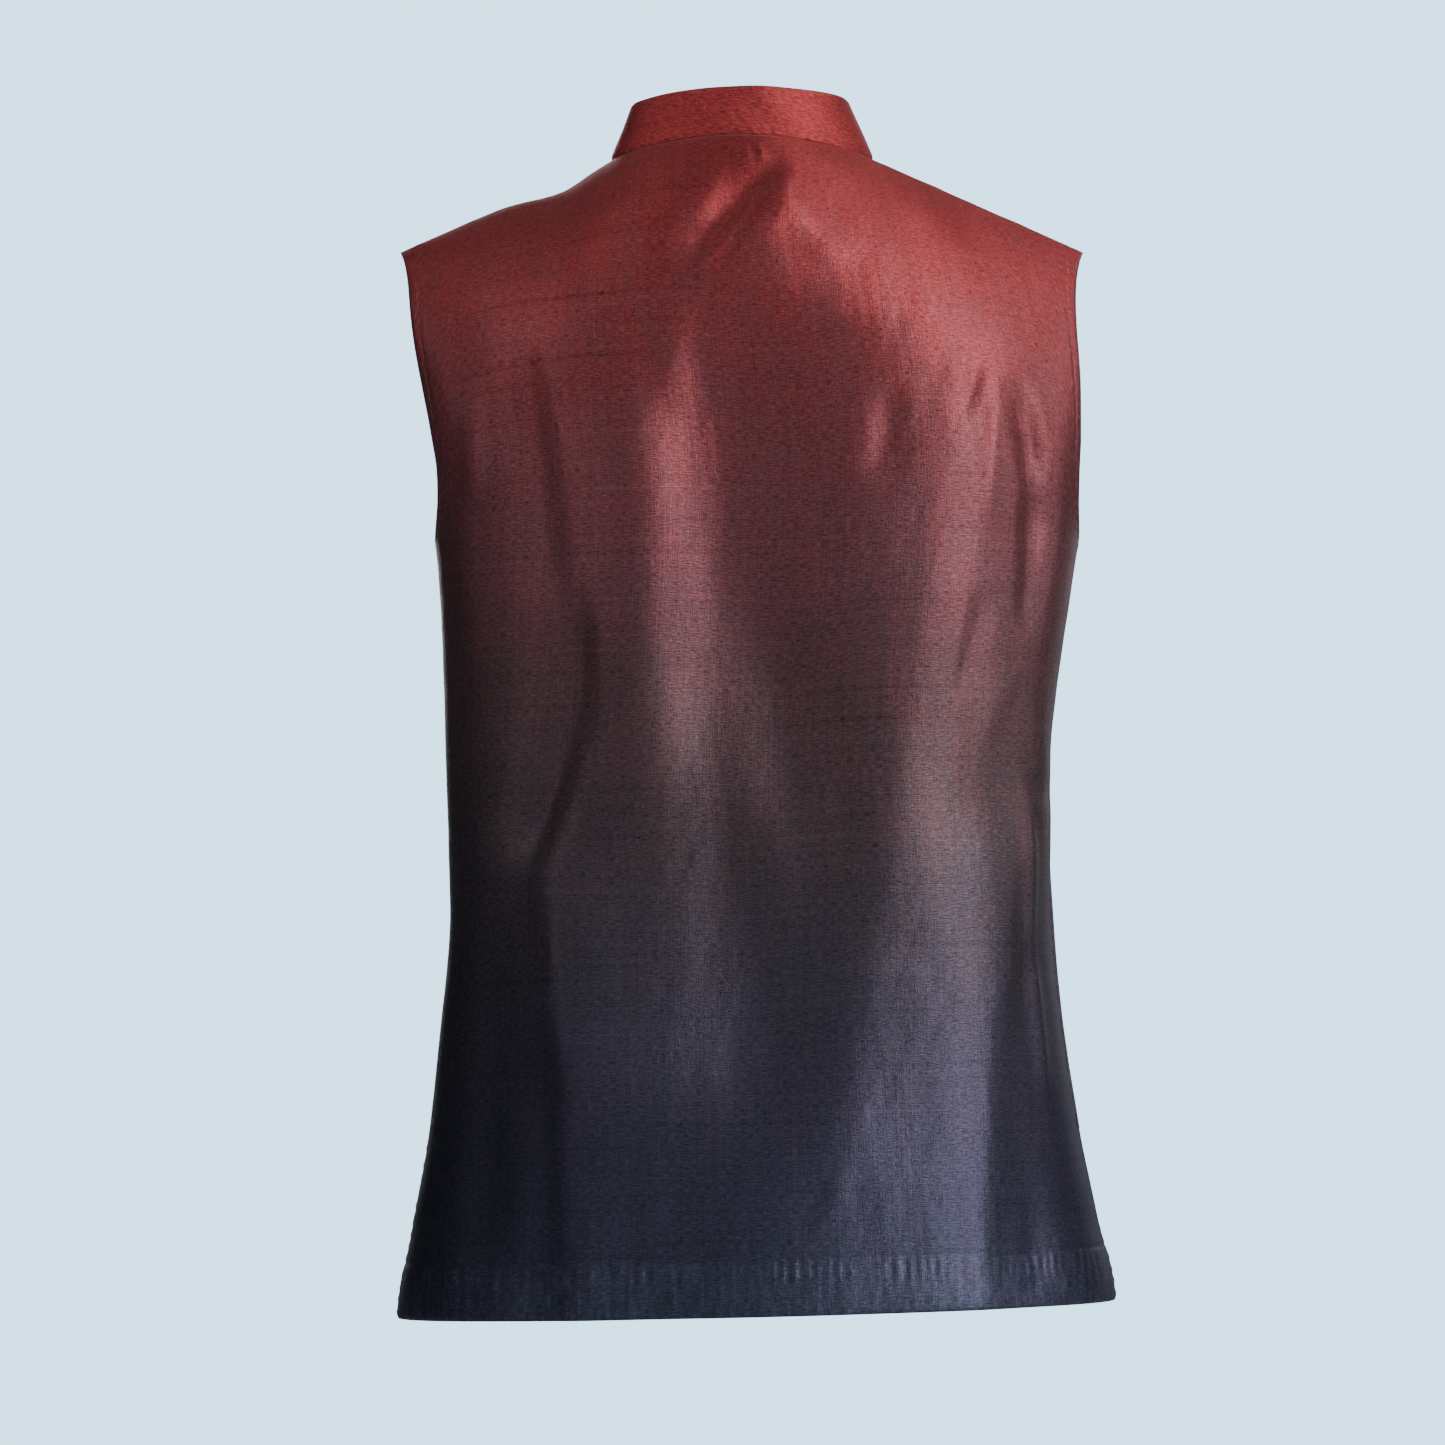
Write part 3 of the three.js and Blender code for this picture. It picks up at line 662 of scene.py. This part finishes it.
def collar_edges(turn):
    """The collar's neckline edge and top edge, at turns in degrees from the centre back."""
    size = np.abs(turn)
    hand = np.sign(turn)
    low, high = np.zeros((*turn.shape, 3)), np.zeros((*turn.shape, 3))
    for face, mask in (("back", size <= 90), ("front", size > 90)):
        quarter = np.radians(size if face == "back" else 180 - size)
        x, y, z = neckline(face, quarter)
        depth, height = COLLAR_TOP_CENTRE[face]
        share = np.clip(np.cos(quarter), 0, 1) ** FACES[face]["neck_power"]
        top_x = hand * COLLAR_TOP_HALF * np.sin(quarter)
        top_y = mix(RIDGE_Y, depth, np.cos(quarter))
        top_z = mix(COLLAR_TOP_SIDE, height, share)
        a = np.stack([hand * x + lean(z), y, z], -1)
        b = np.stack([top_x + COLLAR_SHIFT, top_y, top_z - COLLAR_TILT * top_x], -1)
        if face == "front":
            shift = (hand * lap_shift(a[..., 0], a[..., 2]))[..., None] * COLLAR_LAP_WAY
            a, b = a + shift, b + shift
        low[mask], high[mask] = a[mask], b[mask]
    return low, high


def unit(vectors):
    return vectors / np.linalg.norm(vectors, axis=-1, keepdims=True)


def collar_grid(turns, rises):
    """Points of the collar, and their distance along it from its rounded front end. It sits a little higher
    beside the shoulder seams, at a turn of 96 degrees, and towards the front, from 145 degrees."""
    turn, v = np.meshgrid(turns, rises)
    low, high = collar_edges(turn)
    along = unit(collar_edges(turn + 1)[0] - collar_edges(turn - 1)[0])
    rise = high - low
    square = unit(rise - along * np.sum(rise * along, -1, keepdims=True))
    size = np.abs(turn)
    beside = COLLAR_SEAT_BESIDE * band(size, 96, 12)
    front = COLLAR_SEAT_FRONT * smooth((size - 145) / 15)
    seat = low + square * (COLLAR_SEAT + beside + front)[..., None]
    to_end = (COLLAR_END - size) * math.pi * NECK_HALF / 180
    corner = np.clip(COLLAR_CORNER - to_end, 0, COLLAR_CORNER)
    cut = COLLAR_CORNER - np.sqrt(COLLAR_CORNER ** 2 - corner ** 2)
    share = v * (1 - cut / COLLAR_HEIGHT)
    return seat + (high - seat) * share[..., None], to_end


def collar(material):
    """The collar's band of cloth, with the points and normals of its middle surface."""
    turns = np.linspace(-COLLAR_END, COLLAR_END, COLLAR_COLUMNS)
    grid, to_end = collar_grid(turns, np.linspace(0, 1, COLLAR_ROWS))
    normal = -normals_of(grid)
    run, rise = run_lengths(grid, 1), run_lengths(grid, 0)
    relief = 0.22 * soft_noise(run, rise, 41, 12, 34, 60)
    relief += 0.07 * puckers(run, COLLAR_PUCKER, 2, 43, 50) * band(rise, 1, 3.5)
    relief -= 0.8 * fallen(rise[-1:] - rise, 2.2) + 0.7 * fallen(rise, 1.8)
    relief -= 0.5 * fallen(to_end, 2)
    grid = grid + normal * relief[..., None]
    normal = -normals_of(grid)
    cloth = np.stack([run, rise], -1)
    piece = shell("collar_cloth", grid, normal, cloth, COLLAR_WALL / 2, COLLAR_WALL / 2, True, material)
    return piece, grid, normal


# Seams

def seam(name, paths, material):
    """The turned-in cloth that closes a seam: a narrow strip inside both walls, along paths across it."""
    grid = np.stack(paths)
    cloth = np.stack([run_lengths(grid, 1), run_lengths(grid, 0)], -1)
    strip = shell(name, grid, normals_of(grid), cloth, SEAM_CLOTH / 2, SEAM_CLOTH / 2, False, material, 1)


def centre_of(places):
    """The column on the centre line."""
    return int(np.argmin(np.abs(places)))


def side_and_shoulder_seams(back, fronts, front_places, levels, material):
    middle = back.shape[1] // 2
    centre = centre_of(front_places)
    sewn = (levels > VENT_LENGTH / (UNDERARM - HEM)) & (levels < SIDE_SEAM_TOP)
    shares = np.linspace(*SHOULDER_SEAM, SHOULDER_SEAM_POINTS)
    on_front = centre + (len(front_places) - 1 - centre) * shares
    for word, hand in HANDS.items():
        edge, front = middle + hand * middle, fronts[word]
        sides = [back[sewn, edge - 3 * hand], back[sewn, edge], front[sewn, -1], front[sewn, -4]]
        seam(f"side_seam_{word}", sides, material)
        on_back = middle + hand * middle * shares
        tops = [along_row(back, row, on_back) for row in (-2, -1)]
        tops += [along_row(front, row, on_front) for row in (-1, -2)]
        seam(f"shoulder_seam_{word}", tops, material)


def neck_seam(back, fronts, front_places, ring, material):
    """The seam between the neckline and the collar's ring of points, which are evenly spaced in turn."""
    turns = np.linspace(-NECK_SEAM_END, NECK_SEAM_END, NECK_SEAM_POINTS)
    size, hand = np.abs(turns), np.sign(turns)
    ahead, on_left = (size > 90)[:, None], (hand > 0)[:, None]
    middle, centre = back.shape[1] // 2, centre_of(front_places)
    on_back = middle + hand * middle * NECK_SHARE * np.clip(size / 90, 0, 1)
    per_front = len(front_places) - 1 - centre
    on_front = centre + per_front * NECK_SHARE * np.clip((180 - size) / 90, 0, 1)
    rims = []
    for row in (-2, -1):
        left, right = (along_row(fronts[word], row, on_front) for word in HANDS)
        rims.append(np.where(ahead, np.where(on_left, left, right), along_row(back, row, on_back)))
    on_ring = (turns + COLLAR_END) / (2 * COLLAR_END) * (ring.shape[1] - 1)
    rims += [along_row(ring, row, on_ring) for row in (0, 2)]
    seam("neck_seam", rims, material)


# Thread

# A stitch along its length: share of the length, share of the radius
STITCH = np.array([(0.0, 0.25), (0.15, 0.85), (0.5, 1.0), (0.85, 0.85), (1.0, 0.25)])


def stitches(name, path, normal, pitch, length, radius, material):
    """A line of small raised stitches along a path of points in millimetres."""
    step = np.linalg.norm(np.diff(path, axis=0), axis=1)
    run = np.concatenate([[0], np.cumsum(step)])
    points, faces = [], []
    for start in np.arange(pitch / 2, run[-1] - length, pitch):
        at = start + length * STITCH[:, 0]
        centre = np.stack([np.interp(at, run, path[:, k]) for k in range(3)], -1)
        up = np.array([np.interp(start, run, normal[:, k]) for k in range(3)])
        ahead = unit(centre[-1] - centre[0])
        beside = np.cross(up, ahead)
        faces += tube_faces(len(points), len(STITCH), STITCH_SIDES)
        for (share, size), middle in zip(STITCH, centre):
            lift = radius * (0.35 - 0.9 * abs(share - 0.5))
            for k in range(STITCH_SIDES):
                a = 2 * math.pi * k / STITCH_SIDES
                points.append(middle + up * lift + radius * size * (up * math.sin(a) + beside * math.cos(a)))
    return solid(name, np.array(points) * MM, faces, material)


# Buttons

def place_on(grid, normal, column, height):
    """Point, outward normal, sideways and upward directions where a column of a panel crosses a height."""
    i = int(np.argmin(np.abs(grid[:, column, 2] - height)))
    out = normal[i, column]
    side = unit(np.array([1.0, 0, 0]) - out * out[0])
    return grid[i, column], out, side, np.cross(out, side)


def lathe(name, place, profile, sides, material):
    """A turned shape on a place: a profile of radius and height, closed at both ends."""
    foot, out, side, up = place
    points, coords = [], []
    for radius, height in profile:
        for k in range(sides):
            a = 2 * math.pi * k / sides
            points.append(foot + out * height + radius * (side * math.cos(a) + up * math.sin(a)))
            coords.append(((radius + height) * math.cos(a), (radius + height) * math.sin(a)))
    faces = tube_faces(0, len(profile), sides)
    return solid(name, np.array(points) * MM, faces, material, np.array(coords) * MM)


def button_cover(number, place, material):
    """A flat foot, a rounded edge and a domed face."""
    point, out, side, up = place
    foot = point + out * (WALL / 2 + BUTTON_CLEARANCE)
    r, t = BUTTON_RADIUS, BUTTON_THICKNESS
    profile = [(r * 0.3, 0), (r - 1.1, 0), (r - 0.35, 0.3), (r, BUTTON_EDGE)]
    for a in np.linspace(0.12, 1, 12)[:-1] * RIGHT_ANGLE:
        profile.append((r * math.cos(a) ** 0.8, BUTTON_EDGE + (t - BUTTON_EDGE) * math.sin(a) ** 0.9))
    profile.append((0.4, t))
    piece = lathe(f"button_{number}_cover", (foot, out, side, up), profile, BUTTON_SIDES, material)
    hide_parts(f"button_{number}")


def buttonhole(number, place, material):
    """Stitches round a level slit that is a little wider than the button."""
    point, out, side, up = place
    hole = []
    for a in np.linspace(0, 2 * math.pi, 61):
        x, y = math.cos(a), math.sin(a)
        aside = BUTTONHOLE_HALF * x * (0.9 + 0.1 * y * y) - BUTTONHOLE_SHIFT
        hole.append(point + out * (WALL / 2) + side * aside + up * BUTTONHOLE_OPEN * y)
    path, normal = np.array(hole), np.repeat(out[None], len(hole), 0)
    loop = stitches(f"buttonhole_{number}_thread", path, normal, **BUTTONHOLE_STITCH, material=material)


# Materials

def colour(code, strength=1.0):
    """Linear colour from a hexadecimal one."""
    parts = [int(code[i:i + 2], 16) / 255 for i in (0, 2, 4)]
    linear = [c / 12.92 if c <= 0.04045 else ((c + 0.055) / 1.055) ** 2.4 for c in parts]
    return (*[strength * c for c in linear], 1.0)


def add_node(tree, kind, inputs=None, **properties):
    made = tree.nodes.new(kind)
    for key, value in properties.items():
        setattr(made, key, value)
    for key, value in (inputs or {}).items():
        if isinstance(value, bpy.types.NodeSocket):
            tree.links.new(value, made.inputs[key])
        else:
            made.inputs[key].default_value = value
    return made


def math_node(tree, operation, a, b=0.0, c=0.0):
    return add_node(tree, "ShaderNodeMath", {0: a, 1: b, 2: c}, operation=operation).outputs[0]


def stretched_noise(tree, coords, scale, detail=2.0, roughness=0.5):
    mapping = add_node(tree, "ShaderNodeMapping", {"Vector": coords, "Scale": scale})
    made = add_node(tree, "ShaderNodeTexNoise", {
        "Vector": mapping.outputs[0], "Scale": 1.0, "Detail": detail, "Roughness": roughness})
    return made.outputs[0]


# Dye from the hem up: height in metres, colour
DYE = (
    (-0.715, "51566b"),
    (-0.640, "514f66"),
    (-0.520, "5a5364"),
    (-0.420, "64565d"),
    (-0.330, "76585d"),
    (-0.260, "86585f"),
    (-0.147, "995257"),
    (-0.054, "ad4b4e"),
    (0.040, "b84c4d"),
)

# Uneven threads of the satin in its cloth coordinates: scale across and along, detail, roughness, power
THREADS = {
    "slub": ((16, 800, 1), 3.0, 0.6, 1.0),
    "thick": ((7, 260, 1), 2.0, 0.4, 6.0),
    "sunk": ((5, 210, 1), 1.0, 0.4, 8.0),
    "streak": ((620, 12, 1), 2.0, 0.5, 1.0),
    "weft": ((230, 1500, 1), 1.0, 0.6, 1.0),
    "warp": ((1500, 260, 1), 1.0, 0.6, 1.0),
    "speck": ((800, 760, 1), 1.0, 0.6, 1.0),
}

# How the threads change the colour's strength, and how far they stand out
TINT_BASE, TINT_LEAST = -1.01, 0.55
TINT = {"slub": 0.5, "streak": 0.42, "weft": 1.9, "warp": 0.95, "speck": 0.3}
TINT_BEYOND = {"thick": 0.8, "sunk": -1.1}
RELIEF = {"weft": 1.0, "slub": 0.5, "warp": 0.6, "thick": 1.2, "streak": 0.4}


def cleared(name):
    """A new material and its empty node tree."""
    material = bpy.data.materials.new(name)
    material.use_nodes = True
    material.node_tree.nodes.clear()
    return material, material.node_tree


def dye(tree, coords, tone):
    """The dye's colour by height, with uneven borders."""
    place = add_node(tree, "ShaderNodeTexCoord").outputs["Object"]
    height = add_node(tree, "ShaderNodeSeparateXYZ", {0: place}).outputs["Z"]
    blotches = ((place, (5, 5, 5), 0.10), (coords, (48, 22, 1), 0.13), (coords, (230, 60, 1), 0.09))
    for where, scale, amount in blotches:
        blotch = math_node(tree, "SUBTRACT", stretched_noise(tree, where, scale), 0.5)
        height = math_node(tree, "MULTIPLY_ADD", blotch, amount, height)
    low, high = DYE[0][0], DYE[-1][0]
    share = math_node(tree, "DIVIDE", math_node(tree, "SUBTRACT", height, low), high - low)
    ramp = add_node(tree, "ShaderNodeValToRGB", {"Fac": share})
    ramp.color_ramp.interpolation = "LINEAR"
    stops = ramp.color_ramp.elements
    while len(stops) < len(DYE):
        stops.new(0.5)
    for stop, (at, code) in zip(stops, DYE):
        stop.position = (at - low) / (high - low)
        stop.color = colour(code, tone)
    return ramp.outputs[0]


def uneven_threads(tree, coords):
    threads = {}
    for word, (scale, detail, roughness, power) in THREADS.items():
        made = stretched_noise(tree, coords, scale, detail, roughness)
        threads[word] = made if power == 1 else math_node(tree, "POWER", made, power)
    return threads


def added(tree, threads, shares, total):
    """A total with each of the named threads added, times its share."""
    for word, share in shares.items():
        total = math_node(tree, "MULTIPLY_ADD", threads[word], share, total)
    return total


def painted_hem_sheen(tree, coords, tint, hem_sheen):
    """The tint, lighter by a share below the hem's stitches, where the cloth is doubled and gathered: a
    painted sheen on the turned-up band, in uneven patches.
    """
    run = add_node(tree, "ShaderNodeSeparateXYZ", {0: coords}).outputs["Y"]
    doubled = add_node(tree, "ShaderNodeMapRange", {
        "Value": run, "From Min": (HEM_TURN_UP - 4) * MM, "From Max": HEM_TURN_UP * MM,
        "To Min": 1.0, "To Max": 0.0}).outputs[0]
    gathers = stretched_noise(tree, coords, (250, 50, 1), 1.0, 0.5)
    sheen_lift = math_node(tree, "MULTIPLY_ADD", gathers, 1.2, hem_sheen - 0.6)
    return math_node(tree, "MULTIPLY", tint, math_node(tree, "MULTIPLY_ADD", doubled, sheen_lift, 1.0))


def satin(name, tone=1.0, bump=1.0, rough=0.41, hem_sheen=0.0):
    """Slubbed satin, dyed by height: uneven weft lines, faint warp streaks and a sheen across the warp."""
    material, tree = cleared(name)
    coords = add_node(tree, "ShaderNodeUVMap", uv_map="cloth").outputs[0]
    dyed = dye(tree, coords, tone)
    threads = uneven_threads(tree, coords)
    tint = math_node(tree, "MAXIMUM", added(tree, threads, TINT, TINT_BASE), TINT_LEAST)
    tint = added(tree, threads, TINT_BEYOND, tint)
    # Painted sheen: the hem's turned-up band is made lighter in patches.
    if hem_sheen:
        tint = painted_hem_sheen(tree, coords, tint, hem_sheen)
    tinted = add_node(tree, "ShaderNodeVectorMath", {0: dyed, "Scale": tint}, operation="SCALE")
    relief = added(tree, threads, RELIEF, 0.0)
    bumped = add_node(tree, "ShaderNodeBump", {
        "Height": relief, "Strength": 0.5 * bump, "Distance": 0.0004})
    cloth = add_node(tree, "ShaderNodeBsdfPrincipled", {
        "Base Color": tinted.outputs[0],
        "Roughness": math_node(tree, "MULTIPLY_ADD", threads["speck"], 0.2, rough),
        "Normal": bumped.outputs[0],
        "Tangent": add_node(tree, "ShaderNodeTangent", direction_type="UV_MAP", uv_map="cloth").outputs[0],
        "Metallic": 0.73,
        "Anisotropic": 0.7,
        "Anisotropic Rotation": 0.25,
        "Specular IOR Level": 0.25,
        "Sheen Weight": 0.05,
        "Sheen Roughness": 0.45})
    add_node(tree, "ShaderNodeOutputMaterial", {"Surface": cloth.outputs[0]})
    return material


def thread(name, code):
    """Sewing thread: twisted, with a soft sheen."""
    material, tree = cleared(name)
    place = add_node(tree, "ShaderNodeTexCoord").outputs["Object"]
    twist = stretched_noise(tree, place, (2600, 2600, 2600), 2.0, 0.5)
    ramp = add_node(tree, "ShaderNodeValToRGB", {"Fac": twist})
    ramp.color_ramp.elements[0].color = colour(code, 0.6)
    ramp.color_ramp.elements[1].color = colour(code, 1.3)
    bumped = add_node(tree, "ShaderNodeBump", {"Height": twist, "Strength": 0.4, "Distance": 0.0002})
    body = add_node(tree, "ShaderNodeBsdfPrincipled", {
        "Base Color": ramp.outputs[0], "Roughness": 0.5, "Normal": bumped.outputs[0], "Sheen Weight": 0.2})
    add_node(tree, "ShaderNodeOutputMaterial", {"Surface": body.outputs[0]})
    return material


def plain(name, rgb, roughness):
    material = bpy.data.materials.new(name)
    material.use_nodes = True
    shader = material.node_tree.nodes["Principled BSDF"]
    shader.inputs["Base Color"].default_value = (*rgb, 1.0)
    shader.inputs["Roughness"].default_value = roughness
    return material


def glowing(name, strength):
    """A pale blue glow that no lamp changes."""
    material, tree = cleared(name)
    glow = add_node(tree, "ShaderNodeEmission", {"Color": (0.45, 0.77, 1.0, 1.0), "Strength": strength})
    add_node(tree, "ShaderNodeOutputMaterial", {"Surface": glow.outputs[0]})
    return material


# Camera, stage and light

def look_at(obj, target):
    obj.rotation_mode = "QUATERNION"
    obj.rotation_quaternion = (Vector(target) - obj.location).to_track_quat("-Z", "Y")


def set_camera():
    camera = bpy.data.objects.new("camera", bpy.data.cameras.new("camera"))
    bpy.context.scene.collection.objects.link(camera)
    camera.location = (0.012, 3.5, -0.55)
    look_at(camera, (0.012, 0.0, -0.55))
    camera.data.lens = 140.9
    camera.data.sensor_width = 36.0
    camera.data.shift_y = 0.227
    camera.data.clip_end = 60.0
    bpy.context.scene.camera = camera


def area_light(name, place, target, size, power, rgb, spread):
    lamp = bpy.data.lights.new(name, "AREA")
    lamp.spread = math.radians(spread)
    lamp.shape = "RECTANGLE"
    lamp.size, lamp.size_y = size
    lamp.energy = power
    lamp.color = rgb
    obj = bpy.data.objects.new(name, lamp)
    bpy.context.scene.collection.objects.link(obj)
    obj.location = place
    look_at(obj, target)


MIDDLE = (0, 0, -0.35)
WHITE, ROSY, WARM = (1, 1, 1), (1.0, 0.955, 0.945), (1.0, 0.96, 0.95)
CREAM, COOL = (1.0, 0.98, 0.95), (0.9, 0.95, 1.0)

# Lamps: name, place, target, width and height, watts, colour, spread in degrees
LAMPS = (
    ("key", (-2.2, 2.25, 0.9), MIDDLE, (1.5, 1.7), 67, ROSY, 180),
    ("above", (-1.6, 1.6, 2.2), MIDDLE, (1.2, 1.0), 12, WHITE, 180),
    ("fill", (0.5, 3.2, 1.4), MIDDLE, (1.8, 1.6), 6.5, COOL, 180),
    ("upper_fill", (2.1, 1.9, 1.3), (0.16, 0.1, 0.1), (0.9, 0.9), 0.45, WARM, 24),
    ("left_side", (2.4, 0.3, 0.7), (0.1, 0.0, 0.2), (0.8, 0.8), 0.22, WARM, 20),
    ("right_side", (-2.5, 0.1, 0.6), (-0.15, 0.0, -0.18), (0.5, 0.5), 0.18, CREAM, 16),
    ("front_key", (0.5, -2.6, 0.5), MIDDLE, (1.0, 1.2), 26, CREAM, 180),
    ("front_fill", (-1.4, -2.4, 0.6), MIDDLE, (1.2, 1.2), 8, COOL, 180),
)


def disc(name, height, material):
    bpy.ops.mesh.primitive_circle_add(vertices=96, radius=9, fill_type="NGON", location=(0, 0, height))
    made = bpy.context.object
    made.name = name
    made.data.materials.append(material)
    return made


def set_stage():
    """A pale surround and floor that only the camera sees, a floor that only sends light up, and lamps."""
    world = bpy.data.worlds.new("studio")
    bpy.context.scene.world = world
    world.use_nodes = True
    backing = world.node_tree.nodes["Background"]
    backing.inputs["Color"].default_value = (0.80, 0.88, 0.93, 1)
    backing.inputs["Strength"].default_value = 0.02

    bpy.ops.mesh.primitive_uv_sphere_add(segments=48, ring_count=24, radius=14, location=(0, 0, -0.5))
    surround = bpy.context.object
    surround.name = "surround"
    surround.data.materials.append(glowing("surround", 3.2))
    floor = disc("floor", -1.46, glowing("floor", 2.2))
    for shown in (surround, floor):
        shown.visible_diffuse = False
        shown.visible_glossy = False
        shown.visible_shadow = False
    bounce = disc("floor_bounce", -1.47, plain("floor_bounce", (0.56, 0.63, 0.68), 0.9))
    bounce.visible_camera = False
    for lamp in LAMPS:
        area_light(*lamp)


# Making

def make_back(levels, material):
    half = np.linspace(0, 1, BACK_HALF_COLUMNS)
    places = np.concatenate([-half[:0:-1], half])
    grid, normal, coords = panel("back", 1, places, levels, BACK_SEED)
    wall_in = inner_wall(coords[..., 1])
    back = shell("back_cloth", grid, normal, coords, WALL / 2, wall_in, True, material)
    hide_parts("back")
    return grid


def make_front(word, places, levels, material):
    side = HANDS[word]
    grid, normal, coords = panel("front", side, places, levels, FRONT_SEED + side)
    coords[..., 0] *= side
    wall_in = inner_wall(coords[..., 1])
    piece = shell(f"front_{word}_cloth", grid, normal, coords, WALL / 2, wall_in, side < 0, material)
    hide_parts(f"front_{word}")
    return grid, normal


def make_collar(material, sewing_and_seam_shade):
    """The collar and the stitches along its lower edge, in a near-black thread whose darkness also paints
    the seam's shade. Returns the collar's points.
    """
    band_piece, band_grid, band_normal = collar(material)
    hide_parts("collar")
    path, lift = band_grid[2, 4:-4], band_normal[2, 4:-4] * COLLAR_STITCH_LIFT
    seam_line = stitches("collar_seam_thread", path, lift, **COLLAR_STITCH, material=sewing_and_seam_shade)
    return band_grid


def build():
    set_camera()
    set_stage()
    # The body's satin, with a painted sheen on its hem band.
    cloth = satin("dyed_satin", hem_sheen=0.14)
    # The collar's satin is the same dyed satin made lighter by a share: painted light, standing for the
    # broad light on the collar.
    collar_cloth = satin("collar_satin_lightened", tone=1.16, rough=0.6)
    button_cloth = satin("button_satin", tone=0.8, bump=0.6)
    # Near-black thread for the collar's seam: real stitches, and also a painted shade along the seam line.
    sewing_and_seam_shade = thread("sewing_thread_and_seam_shade", "1e0a0c")
    red_sewing = thread("red_thread", "8f2c30")

    levels = level_steps(PANEL_ROWS)
    back = make_back(levels, cloth)
    lap = -(NECK_SHARE * math.asin(LAP / NECK_HALF)) / RIGHT_ANGLE
    front_places = np.concatenate([
        np.linspace(lap, 0, LAP_COLUMNS, endpoint=False),
        np.linspace(0, 1, FRONT_COLUMNS)])
    made = {word: make_front(word, front_places, levels, cloth) for word in HANDS}
    fronts = {word: grid for word, (grid, normal) in made.items()}
    ring = make_collar(collar_cloth, sewing_and_seam_shade)
    side_and_shoulder_seams(back, fronts, front_places, levels, cloth)
    neck_seam(back, fronts, front_places, ring, cloth)
    for number in range(1, BUTTON_COUNT + 1):
        height = BUTTON_TOP - BUTTON_SPACING * (number - 1)
        place = place_on(*made["left"], centre_of(front_places), height)
        button_cover(number, place, button_cloth)
        buttonhole(number, place, red_sewing)


build()
